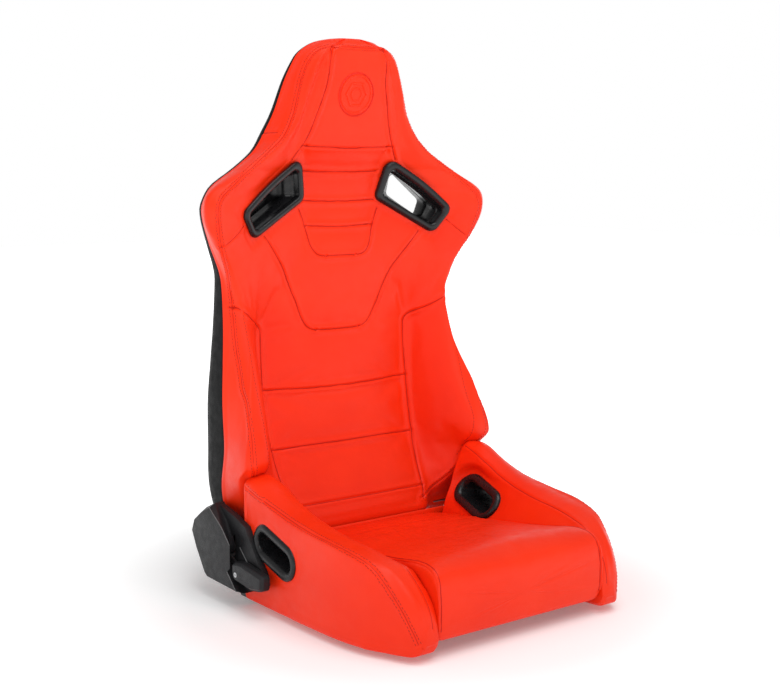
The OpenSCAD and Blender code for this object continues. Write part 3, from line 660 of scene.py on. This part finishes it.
def back_cover():
    heights = np.concatenate([np.arange(BACK_LOW, 850, 5.0), np.arange(850, 872, 3.0),
                              np.arange(872, BACK_TOP, 1.6), [BACK_TOP]])
    half = front_half(heights)
    rows = []
    for i, z in enumerate(heights):
        line = spaced(half[:, i], BACK_STEPS)
        row = np.concatenate([line[::-1] * [-1, 1], line[1:]])
        rows.append(np.column_stack([row[:, 0], row[:, 1], np.full(len(row), z)]))
    top = rows[-1]
    for k, lift in ((0.75, 0.5), (0.4, 0.9), (0.1, 1.0)):
        rows.append(np.column_stack([top[:, 0] * k, CLOSED_Y + (top[:, 1] - CLOSED_Y) * k,
                                     np.full(len(top), BACK_TOP + lift)]))
    # the lower end turns under, round the recline axis, and less so at its two corners
    low = rows[0]
    reach = 8 + 24 * smoothstep((230 - np.abs(low[:, 0])) / 10)
    reach = np.maximum(reach, np.where(np.abs(low[:, 0]) < 190, 168 - low[:, 1], 8))
    for turn in (12, 26, 42, 58, 74, 90):
        a = math.radians(turn)
        rows.insert(0, np.column_stack([low[:, 0] * (1 - 0.0006 * turn),
                                        low[:, 1] + reach * (1 - math.cos(a)),
                                        BACK_LOW - reach * math.sin(a)]))
    rows = np.array(rows)
    x, y, z = rows[..., 0], rows[..., 1], rows[..., 2]
    # the padding is held down round each harness bezel
    near = smoothstep(1 + np.minimum(inside_duct(x, z), 0) / 16) * (y < 215)
    rows[..., 1] = y * (1 - near) + np.maximum(y, bezel_plane(x, z) + 1.2) * near
    return mesh_object("back_cover", rows.reshape(-1, 3), grid_faces(*rows.shape[:2]))


back = back_cover()
back_tree = surface_of(back)
# right-hand half of each seam, but the cross seams whole: (x, z) met from the front, or (x, y, z)
BACK_SEAMS = {
    "outline": [[(226, 119, 197), (234, 104, 215), (239, 97, 232), (236, 107, 266), (229, 132, 316),
                 (225, 149, 336), (220, 168, 370), (218, 180, 398), (216, 189, 434), (216, 194, 465),
                 (225, 187, 499), (237, 176, 531), (250, 164, 559), (259, 155, 587), (263, 150, 607),
                 (262, 149, 624), (253, 150, 638), (228, 155, 657), (202, 159, 677), (165, 166, 703),
                 (134, 166, 729), (116, 167, 762), (107, 167, 794), (98, 166, 825), (86, 162, 852),
                 (70, 157, 867), (51, 150, 870), (25, 146, 871), (0, 145, 871)],
                [(226, 119, 197), (208, 126, 172), (180, 139, 142), (150, 147, 120), (128, 147, 110)]],
    "panel": [[(52, 868), (56, 849), (58, 815), (69, 772), (79, 740), (91, 713), (104, 692)],
              [(219, 461), (208, 457), (182, 441), (151, 422), (147, 395), (148, 316), (145, 222),
               (139, 160), (135, 112)],
              [(157, 572), (136, 546), (114, 517), (99, 489), (86, 462), (73, 434), (64, 420),
               (54, 413), (44, 411)],
              [(79, 612), (70, 590), (64, 565), (59, 551), (52, 541), (43, 536), (30, 534)]],
    "cross": [[(-x, side_z), (0, mid_z), (x, side_z)] for x, side_z, mid_z in
              ((91, 713, 711), (76, 674, 672), (74, 626, 624), (68, 585, 583), (30, 534, 534),
               (44, 411, 410), (148, 318, 314), (145, 222, 222), (138, 133, 133))],
    "band": [[(138, 176, 735), (142, 192, 735), (145, 205, 735)],
             [(205, 590), (224, 574), (245, 560), (254, 557)]],
    "crest": [[(207, 174, 451), (207, 161, 410), (208, 141, 357), (207, 119, 297), (211, 101, 250),
               (206, 105, 215), (190, 122, 178)]],
}


def both_sides(line):
    return [line, line * [-1, 1, 1]]


lines = {k: [] for k in BACK_SEAMS}
for kind, group in BACK_SEAMS.items():
    for points in group:
        line = seam_line(back_tree, points)
        lines[kind] += [line] if kind == "cross" else both_sides(line)

inner = lines["panel"] + lines["cross"] + lines["band"]
deep = lines["outline"] + inner
start = coords(back)
edge = (start[:, 2] < 104) | (start[:, 2] > 880)
cols = 2 * BACK_STEPS - 1
edge |= np.isin(np.arange(len(start)) % cols, (0, 1, cols - 2, cols - 1))
edge |= inside_duct(start[:, 0], start[:, 2]) > -6
stretch(back, deep, edge, sink=1.6)
subdivide(back)
refine(back, deep)
for kind, depth, width, pucker in (("outline", 1.6, 1.5, 0.12), ("panel", 2.6, 1.5, 0.1),
                                   ("cross", 2.6, 1.5, 0.08), ("band", 1.5, 1.5, 0.05),
                                   ("crest", 0.5, 1.2, 0.05)):
    sew(back, lines[kind], depth, width, pucker)
keep_faces(back, lambda c: inside_duct(c.x, c.z) < COVER_CUT)
finish_piece(back, "back", RED,
             ["lumbar_pad", "back_bolster_left", "back_bolster_right", "upper_center_pad",
              "shoulder_pad_left", "shoulder_pad_right", "headrest_pad"])

back_tree = surface_of(back)
# thread stitches, and dark cords in the seam valleys as painted shade
for piece, mat in ((stitches("back_stitching", back_tree, lines["outline"], THREAD_ROWS), THREAD),
                   (stitches("bolster_stitching", back_tree, lines["crest"], (0,)), THREAD),
                   (seam_shade_cords("back_seam_shade_lines", back_tree, inner, 0.8, CORD_LIFT), SEAM_SHADE),
                   (seam_shade_cords("back_outline_seam_shade", back_tree, lines["outline"], 0.55, CORD_LIFT), SEAM_SHADE)):
    finish_piece(piece, "back", mat)

# embossed hexagon nut in a ring on the head rest; the outer ring's darker red is painted shade of its
# embossed groove
EMBLEM_Z = 797


def round_emblem(reach, steps):
    """Points (x, z) of a ring, or of a hexagon's corners, round the emblem's middle."""
    return [(reach * math.cos(a), EMBLEM_Z + reach * math.sin(a))
            for a in np.linspace(0, math.tau, steps + 1)]


emblem_shapes = ((round_emblem(34, 96), 1.5, 0.2, EMBOSS_SHADE), (round_emblem(29.5, 96), 1.9, 0.1, RED),
                 (round_emblem(10, 48), 1.6, 0.1, RED), (spaced(round_emblem(20, 6), 73), 1.9, 0.1, RED))
for k, (shape, radius, sink, mat) in enumerate(emblem_shapes):
    path = np.array([facing(back_tree, x, z) for x, z in shape]) + [0, sink * radius, 0]
    finish_piece(tube(f"emblem_{k}", path, radius), "back", mat)

# ---- back shell ----

def back_shell():
    heights = np.concatenate([np.arange(SHELL_LOW, 850, 8.0), np.arange(850, BACK_TOP, 3.0), [BACK_TOP]])
    rows = []
    angles = np.linspace(0, math.pi, 91)
    for z in heights:
        xj, yj, p = float(at(JOINT_X, z)), float(at(JOINT_Y, z)), float(at(SHELL_ROUND, z))
        d = float(at(REAR_Y, z)) - yj
        rows.append([[xj * np.sign(math.cos(a)) * abs(math.cos(a)) ** p, yj + d * math.sin(a) ** p, z]
                     for a in angles])
    top = np.array(rows[-1])
    for k, lift in ((0.6, 0.5), (0.15, 0.8)):
        rows.append(np.column_stack([top[:, 0] * k, 184 + (top[:, 1] - 184) * k, top[:, 2] + lift]))
    rows = np.array([spaced(r, len(angles)) for r in rows])
    return mesh_object("back_shell_skin", rows.reshape(-1, 3), grid_faces(*rows.shape[:2]))


shell = back_shell()
keep_faces(shell, lambda c: inside_duct(c.x, c.z, REAR_LINES) < 6 or c.y < 225)
solid = shell.modifiers.new("wall", "SOLIDIFY")
solid.thickness, solid.offset = 0.003, -1
bevel(shell, 0.0008, 2, 50)
finish_piece(shell, "back", SHELL, ["back_shell"])

# ---- harness bezels and ducts ----

def duct_rings(profile):
    """Rings of a harness duct through (grow, corner radius, depth, share of the way back)."""
    rings = []
    for grow, radius, depth, share in profile:
        bow = DUCT_BOW * max(1 + min(grow, 0) / 30, 0) * (1 - share)
        front = duct_outline(DUCT_LINES, grow, radius, bow)
        rear = duct_outline(REAR_LINES, grow, radius)
        o = front + (rear - front) * smoothstep(share)
        x, z = o[:, 0], o[:, 1]
        rings.append(ring_at((1 - share) * bezel_plane(x, z) + share * rear_plane(x, z) + depth, o))
    return rings


BEZEL_PROFILE = [(0.2, 14.5, 3.5, 0), (0.9, 14.5, -0.8, 0), (0.6, 14.5, -2.8, 0), (-0.7, 14, -4.6, 0),
                 (-2.6, 13, -5.9, 0), (-5.0, 12, -6.4, 0), (-7.4, 10.5, -5.9, 0), (-9.4, 9, -4.4, 0),
                 (-10.7, 8, -2.2, 0), (-11.2, 7.5, 0.4, 0), (-11.4, 7.5, 9, 0), (-11.8, 7.5, 10.4, 0),
                 (-12.8, 7, 11, 0), (-13.2, 7, 13, 0), (-13.4, 7, 0, 0.3), (-13.4, 7, 0, 0.55),
                 (-11, 7, 0, 0.56), (-10, 7, 4, 0.1)]
DUCT_PROFILE = [(-11.6, 8, 0, 0.5), (-12.4, 8, 0, 0.51), (-12.4, 8, 1.2, 0.6), (-13, 8, 1.4, 0.61),
                (-13, 8, 0, 0.8), (-12.6, 8, -3, 1), (-12, 8, 0.2, 1), (-10.8, 9, 1.0, 1),
                (-3, 12, 1.0, 1), (-1.4, 12, 0.2, 1), (-1, 12, -2.6, 1)]
for node, profile in (("harness_bezel", BEZEL_PROFILE), ("harness_duct", DUCT_PROFILE)):
    piece = rings_object(f"{node}_trim_right", duct_rings(profile), caps=False)
    other = mirrored(piece, f"{node}_trim_left")
    finish_piece(piece, "back", BEZEL, [f"{node}_right"])
    finish_piece(other, "back", BEZEL, [f"{node}_left"])

# ---- lap belt openings ----

def lap_at(x):
    """The slot's middle (y, z) at x."""
    k = (LAP_OUT_X - x) / LAP_RUN
    return LAP_OUT[0] + (LAP_IN[0] - LAP_OUT[0]) * k, LAP_OUT[1] + (LAP_IN[1] - LAP_OUT[1]) * k


def inside_lap(x, y, z):
    """How far inside the flange's outline a point is, along the slanted slot."""
    cy, cz = lap_at(x)
    u = (y - cy) * math.cos(LAP_TILT) + (z - cz) * math.sin(LAP_TILT)
    v = -(y - cy) * math.sin(LAP_TILT) + (z - cz) * math.cos(LAP_TILT)
    return LAP_RADIUS - math.hypot(max(abs(u) - (LAP_LENGTH / 2 - LAP_RADIUS), 0), v)


def obround(grow):
    """Outline of the lap belt flange moved out by grow, in the slot's own directions."""
    r = LAP_RADIUS + grow
    reach = LAP_LENGTH / 2 - LAP_RADIUS
    out = []
    for side in (1, -1):
        for a in np.radians(np.linspace(-90, 90, 17)):
            out.append((side * (reach + r * math.cos(a)), side * r * math.sin(a)))
        out += [(side * reach * (1 - k / 4), side * r) for k in range(1, 8)]
    return out


def inner_face(depth, oz):
    """x of a point that stands depth in front of the bolster's inner face, oz above the slot."""
    nx, nz = math.cos(FACE_TILT), -math.sin(FACE_TILT)
    k = (LAP_IN[1] - LAP_OUT[1]) / LAP_RUN
    slot_z = LAP_OUT[1] + oz + LAP_OUT_X * k
    return (-depth + nx * FACE_IN[0] + nz * FACE_IN[1] - nz * slot_z) / (nx - nz * k)


def lap_rings(x_of, wall):
    """Rings of a lap belt bezel: over its face by x_of(depth, oz), then down the wall's (grow, x)."""
    face = [(0.3, -3.5), (0.8, 0.6), (0.5, 2.4), (-0.7, 4.0), (-2.6, 5.2), (-5.2, 5.9), (-8.0, 5.6),
            (-10.6, 4.4), (-12.4, 2.4), (-13, 0)]
    rings = []
    steps = [(g, d, x_of) for g, d in face] + [(g, x, lambda x, _: x) for g, x in wall]
    for grow, depth, find_x in steps:
        ring = []
        for u, v in obround(grow):
            oy = u * math.cos(LAP_TILT) - v * math.sin(LAP_TILT)
            oz = u * math.sin(LAP_TILT) + v * math.cos(LAP_TILT)
            x = find_x(depth, oz)
            cy, cz = lap_at(x)
            ring.append((x, cy + oy, cz + oz))
        rings.append(ring)
    return rings


outer_rings = lap_rings(lambda depth, _: BASE_HALF_W + depth, [(-13.4, 236), (-14.6, 232), (-15, 214)])
inner_rings = lap_rings(inner_face, [(-13.4, 182), (-14.6, 186), (-15, 214.4)])

# ---- base bolsters ----

def bolster_section(y, shrink=0.0):
    """Section (x, z) of the right bolster at depth y, shrunk toward its middle."""
    xi, xo, zt = float(at(SEAT_X, y)) + 0.4, float(at(OUT_X, y)), float(at(TOP_Z, y))
    zs, zb = float(at(SIDE_Z, y)), float(at(HEM_Z, y))
    zj = min(float(at(SEAT_Z, y)), zt) - 14
    w = xo - xi
    curve = bend([(xi, zj), (xi + w * 0.12, zj + (zt - zj) * 0.3), (xi + w * 0.4, zt - (zt - zj) * 0.2),
                  (xi + w * 0.58, zt - 1), (xi + w * 0.78, zt - 1), (xo - w * 0.05, zs + 2), (xo, zs - 14),
                  (xo, (zs + zb) / 2)], 8)
    line = [(xi, zb + 6)] + [tuple(p) for p in curve]
    line += [(xo, zb + 9), (xo - 0.8, zb + 3), (xo - 3.5, zb), (xi + 6, zb), (xi, zb + 6)]
    ring = spaced(line, 97)[:-1]
    mid = ring.mean(axis=0)
    return mid + (ring - mid) * (1 - shrink)


def base_bolster():
    depths = np.concatenate([[-259, -258.4, -257.6, -256.5, -255, -253, -250.5, -248],
                             np.arange(-245, 112, 5.0), [113, 116]])
    rings = [ring_at(-260.4, bolster_section(-259, 0.8)), ring_at(-260.2, bolster_section(-259, 0.4)),
             ring_at(-259.7, bolster_section(-259, 0.12))]
    rings += [ring_at(y, bolster_section(y)) for y in depths]
    rings += [ring_at(y, bolster_section(116, k)) for y, k in ((117.5, 0.04), (118, 0.3), (118, 0.8))]
    return rings_object("base_bolster_cover_right", rings)


bolster = base_bolster()
tree = surface_of(bolster)
outer_seam = seam_line(tree, [(240, 112, 190), (241, 52, 174), (240, -55, 155), (238, -126, 149),
                              (226, -177, 133), (214, -207, 108), (205, -236, 72), (197, -257, 30)])
inner_seam = seam_line(tree, [(196, 112, 203), (190, 60, 189), (186, 0, 167), (184, -60, 153),
                              (182, -120, 146), (178, -180, 134), (176, -220, 113), (174, -247, 84),
                              (172, -258, 48)])
start = coords(bolster)
lap = np.array([inside_lap(*p) for p in start])
edge = (start[:, 1] > 112) | (start[:, 1] < -258) | (start[:, 2] < 24) | (lap > -6)
edge |= (start[:, 0] < 168) & (start[:, 2] < 100)
stretch(bolster, [outer_seam, inner_seam], edge, sink=1.5)
# the padding is held down behind the inner flange of the lap belt opening
co = coords(bolster)
front = ((co[:, 0] - FACE_IN[0]) * math.cos(FACE_TILT) - (co[:, 2] - FACE_IN[1]) * math.sin(FACE_TILT))
lap = np.array([inside_lap(*p) for p in co])
near = smoothstep(1 + np.minimum(lap + 1, 0) / 18) * (co[:, 0] < 225)
co[:, 0] += near * np.maximum(0.8 - front, 0) / math.cos(FACE_TILT)
set_coords(bolster, co)
subdivide(bolster)
refine(bolster, [outer_seam, inner_seam])
sew(bolster, [outer_seam], 1.6, 1.6, 0.12)
sew(bolster, [inner_seam], 1.0, 1.3, 0.08)
keep_faces(bolster, lambda c: inside_lap(*c) < 6)
tree = surface_of(bolster)
# the dark seam cords on the bolster are painted shade of its seam valleys
pieces = [(bolster, RED, "base_bolster"),
          (stitches("base_stitching_right", tree, [outer_seam], THREAD_ROWS), THREAD, None),
          (seam_shade_cords("base_inner_seam_line_right", tree, [inner_seam], 0.8, CORD_LIFT), SEAM_SHADE, None),
          (seam_shade_cords("base_outer_seam_line_right", tree, [outer_seam], 0.55, CORD_LIFT), SEAM_SHADE, None),
          (rings_object("lap_bezel_outer_trim_right", outer_rings, caps=False), BEZEL, "lap_bezel_outer"),
          (rings_object("lap_bezel_inner_trim_right", inner_rings, caps=False, flip=True), BEZEL,
           "lap_bezel_inner")]
for piece, mat, node in pieces:
    other = mirrored(piece, piece.name.replace("right", "left"))
    for obj, side in ((piece, "right"), (other, "left")):
        finish_piece(obj, "base", mat,
                     [f"{node}_{side}"] if node else ())

# ---- seat cushion ----

def cushion_section(y, shrink=0.0):
    """Section (x, z) of the cushion at depth y, shrunk toward its middle."""
    w, z, b = float(at(SEAT_X, y)), float(at(SEAT_Z, y)), float(at(SEAT_LOW_Z, y))
    k = min(10, (z - b) / 3)
    top = bend([(0, z + 2), (w * 0.3, z + 1.8), (w * 0.6, z + 1), (w * 0.85, z), (w - k * 0.6, z - 1.5),
                (w - 0.5, z - k * 0.8), (w, z - 1.6 * k)], 6).tolist()
    half = spaced(top + [(w, b + k), (w - k * 0.4, b + k * 0.3), (w - k, b), (0, b)], 60)
    ring = np.concatenate([half, half[1:-1][::-1] * [-1, 1]])
    mid = np.array([0, (z + b) / 2])
    return mid + (ring - mid) * (1 - shrink)


def seat_cushion():
    depths = np.concatenate([[-257, -256.6, -256, -255.2, -254, -252.5, -250, -247.5, -244],
                             np.arange(-240, 122, 5.0), np.arange(122, 136, 3.0), [137]])
    rings = [ring_at(y, cushion_section(-257, k))
             for y, k in ((-257.8, 0.85), (-257.8, 0.5), (-257.6, 0.1))]
    rings += [ring_at(y, cushion_section(y)) for y in depths]
    rings += [ring_at(138, cushion_section(137, k)) for k in (0.1, 0.7)]
    return rings_object("seat_cushion_cover", rings)


cushion = seat_cushion()
tree = surface_of(cushion)
cushion_lines = [seam_line(tree, [(-150, 62, 98), (0, 66, 99), (150, 62, 98)]),
                 seam_line(tree, [(-150, 20, 103), (0, 24, 104), (150, 20, 103)])]
start = coords(cushion)
edge = (start[:, 2] < at(SEAT_LOW_Z, start[:, 1]) + 6) | (start[:, 1] > 125)
edge |= np.abs(start[:, 0]) > at(SEAT_X, start[:, 1]) - 3
stretch(cushion, cushion_lines, edge, sink=1.5)
subdivide(cushion)
refine(cushion, cushion_lines)
sew(cushion, cushion_lines, 0.9, 1.6, 0.1)
finish_piece(cushion, "base", RED, ["seat_cushion"])
tree = surface_of(cushion)

# welt along each side edge of the cushion: up its front, then back along its top
piping = [[float(at(SEAT_X, -256)) - 1.5, -257.5, z] for z in np.arange(40, 104, 4.0)]
piping += [[160, -255.5, 112]]
piping += [[float(at(SEAT_X, y)) - 1.5, y, float(at(SEAT_Z, y)) - 2.2]
           for y in np.arange(-250, -100, 5.0)]
piping = np.array([on_surface(tree, p)[0] for p in spaced(bend(piping, 3), 260)])
welt = tube("cushion_piping_right", evened(piping), 1.5)
# a dark cord beside the welt is painted shade of the seam along it
edge_seam_shade = seam_shade_cords("cushion_edge_seam_right", tree, [piping - [3.4, 0, 0]], 0.8, 0)
for obj, mat in ((welt, RED), (edge_seam_shade, SEAM_SHADE)):
    for piece in (obj, mirrored(obj, obj.name.replace("right", "left"))):
        finish_piece(piece, "base", mat)

# the cushion's rear flap closes the gap under the back
section = [(135, 60), (138.4, 60), (138.4, 90), (137.6, 91.6), (136, 91.8), (135, 90)]
flap = rings_object("cushion_flap", [[(x, y, z) for y, z in section] for x in np.linspace(-199, 199, 41)])
finish_piece(flap, "base", RED)

# ---- hard parts kept from the frame, with softened edges ----

def refined(node, body, width):
    """A copy of a CAD node with rounded edges, shown in its place."""
    obj = frame["nodes"][node].copy()
    obj.data = obj.data.copy()
    for key in list(obj.keys()):
        del obj[key]
    obj.parent = None
    obj.name = obj.data.name = node + "_detail"
    bpy.context.scene.collection.objects.link(obj)
    bm = bmesh.new()
    bm.from_mesh(obj.data)
    bmesh.ops.remove_doubles(bm, verts=bm.verts, dist=0.00002)
    bmesh.ops.dissolve_limit(bm, angle_limit=math.radians(1), verts=bm.verts, edges=bm.edges)
    bm.to_mesh(obj.data)
    bm.free()
    bevel(obj, width, 3, 28)
    obj.data.polygons.foreach_set("use_smooth", [True] * len(obj.data.polygons))
    obj.data.set_sharp_from_angle(angle=math.radians(40))
    slot = NODE_SLOT[node]
    return finish_piece(obj, body, SLOT_MATERIAL[slot], [node])


for node, body, width in (("recliner_cover_left", "base", 0.0018),
                          ("recliner_cover_right", "base", 0.0018),
                          ("lever_grip", "lever", 0.0012), ("side_member_left", "base", 0.0006),
                          ("side_member_right", "base", 0.0006), ("mounting_bosses", "base", 0.0006),
                          ("lever_arm", "lever", 0.0004), ("lever_screw", "lever", 0.0003)):
    refined(node, body, width)

# moulded ridges of the recliner covers, in a lighter grey that paints the highlight along their edges
for name, radius, path in (("upper", 0.7, [(-275.1, 173, 150), (-275.1, 136, 125), (-275.1, 113, 102)]),
                           ("lower", 0.6, [(-275.1, 122, 58), (-275.1, 96, 33)]),
                           ("panel", 0.8, [(-256.1, 114, 95.8), (-256.1, 81.4, 67)])):
    ridge_highlight = tube(f"cover_ridge_{name}_left", spaced(path, 24), radius)
    for obj in (ridge_highlight, mirrored(ridge_highlight, f"cover_ridge_{name}_right")):
        finish_piece(obj, "base", RIDGE_HIGHLIGHT)

# the CAD nodes that still show
for node, obj in frame["nodes"].items():
    for k in range(len(obj.data.materials)):
        obj.data.materials[k] = SLOT_MATERIAL[NODE_SLOT[node]]
    if not obj.data.materials:
        obj.data.materials.append(SLOT_MATERIAL[NODE_SLOT[node]])

# ---- studio ----

FLOOR_HALF = 9000
# the paper's glow is lowered round the seat as a painted shadow, and is even away from it
SEAT_SHADOW_GLOW, PAPER_GLOW = 0.13, 0.9          # under the seat, and away from it
GLOW_FROM, GLOW_TO = 0.36, 1.0              # metres from the seat's middle
floor = mesh_object("floor", [(x * FLOOR_HALF, y * FLOOR_HALF, 0)
                              for x, y in ((-1, -1), (1, -1), (1, 1), (-1, 1))], [(0, 1, 2, 3)])
paper, nodes, links, shader, place = material("paper", 0.9)
shader.inputs["Specular IOR Level"].default_value = 0.1
fibres = noise(nodes, links, place, 3)
ramp(nodes, links, fibres.outputs["Fac"], [(0.0, (0.93,)), (1.0, (0.95,))], shader.inputs["Base Color"])
shader.inputs["Emission Color"].default_value = (1, 1, 1, 1)
# the paper glows evenly away from the seat and less near it: a painted shadow round the seat that deepens
# the real contact shadow
away = nodes.new("ShaderNodeVectorMath")
away.operation = "LENGTH"
links.new(place, away.inputs[0])
reach = nodes.new("ShaderNodeMapRange")
for socket, value in (("From Min", GLOW_FROM), ("From Max", GLOW_TO), ("To Min", SEAT_SHADOW_GLOW),
                      ("To Max", PAPER_GLOW)):
    reach.inputs[socket].default_value = value
links.new(away.outputs["Value"], reach.inputs["Value"])
links.new(reach.outputs["Result"], shader.inputs["Emission Strength"])
floor.data.materials.append(paper)

world = bpy.data.worlds.new("studio")
world.use_nodes = True
nodes, links = world.node_tree.nodes, world.node_tree.links
height = nodes.new("ShaderNodeSeparateXYZ")
links.new(nodes.new("ShaderNodeTexCoord").outputs["Generated"], height.inputs["Vector"])
# white paper at eye level, a dimmer ceiling above it
ramp(nodes, links, height.outputs["Z"], [(0.2, (1.0,)), (0.42, (0.45,))],
     nodes["Background"].inputs["Color"])
nodes["Background"].inputs["Strength"].default_value = 1.0
bpy.context.scene.world = world


def soft_light(name, place, aim, size, power):
    """A rectangular lamp at place, turned toward aim; metres and watts."""
    data = bpy.data.lights.new(name, "AREA")
    data.shape, data.size, data.size_y, data.energy = "RECTANGLE", size[0], size[1], power
    obj = bpy.data.objects.new(name, data)
    obj.location = place
    obj.rotation_euler = (Vector(aim) - Vector(place)).to_track_quat("-Z", "Y").to_euler()
    bpy.context.scene.collection.objects.link(obj)


soft_light("key", (-1.3, -2.2, 2.4), (0, 0, 0.45), (1.2, 1.2), 17)
soft_light("top", (-0.1, -0.8, 2.9), (0, 0, 0.4), (1.8, 1.8), 32)
soft_light("side", (-2.6, 0.1, 1.2), (0, 0, 0.4), (0.5, 1.6), 3)

bpy.context.scene.view_settings.view_transform = "Standard"

# the camera that was fitted to the photo
CAMERA_AT = (-1.338016, -1.680275, 0.689631)
CAMERA_LENS, CAMERA_SENSOR = 63.70, 36
AZIMUTH, ELEVATION = math.radians(-37.48146), math.radians(7.77983)
camera = bpy.data.objects.new("camera", bpy.data.cameras.new("camera"))
camera.data.lens, camera.data.sensor_width = CAMERA_LENS, CAMERA_SENSOR
camera.location = CAMERA_AT
look_back = Vector((math.sin(AZIMUTH) * math.cos(ELEVATION), -math.cos(AZIMUTH) * math.cos(ELEVATION),
                    math.sin(ELEVATION)))
camera.rotation_euler = look_back.to_track_quat("Z", "Y").to_euler()
bpy.context.scene.collection.objects.link(camera)
bpy.context.scene.camera = camera
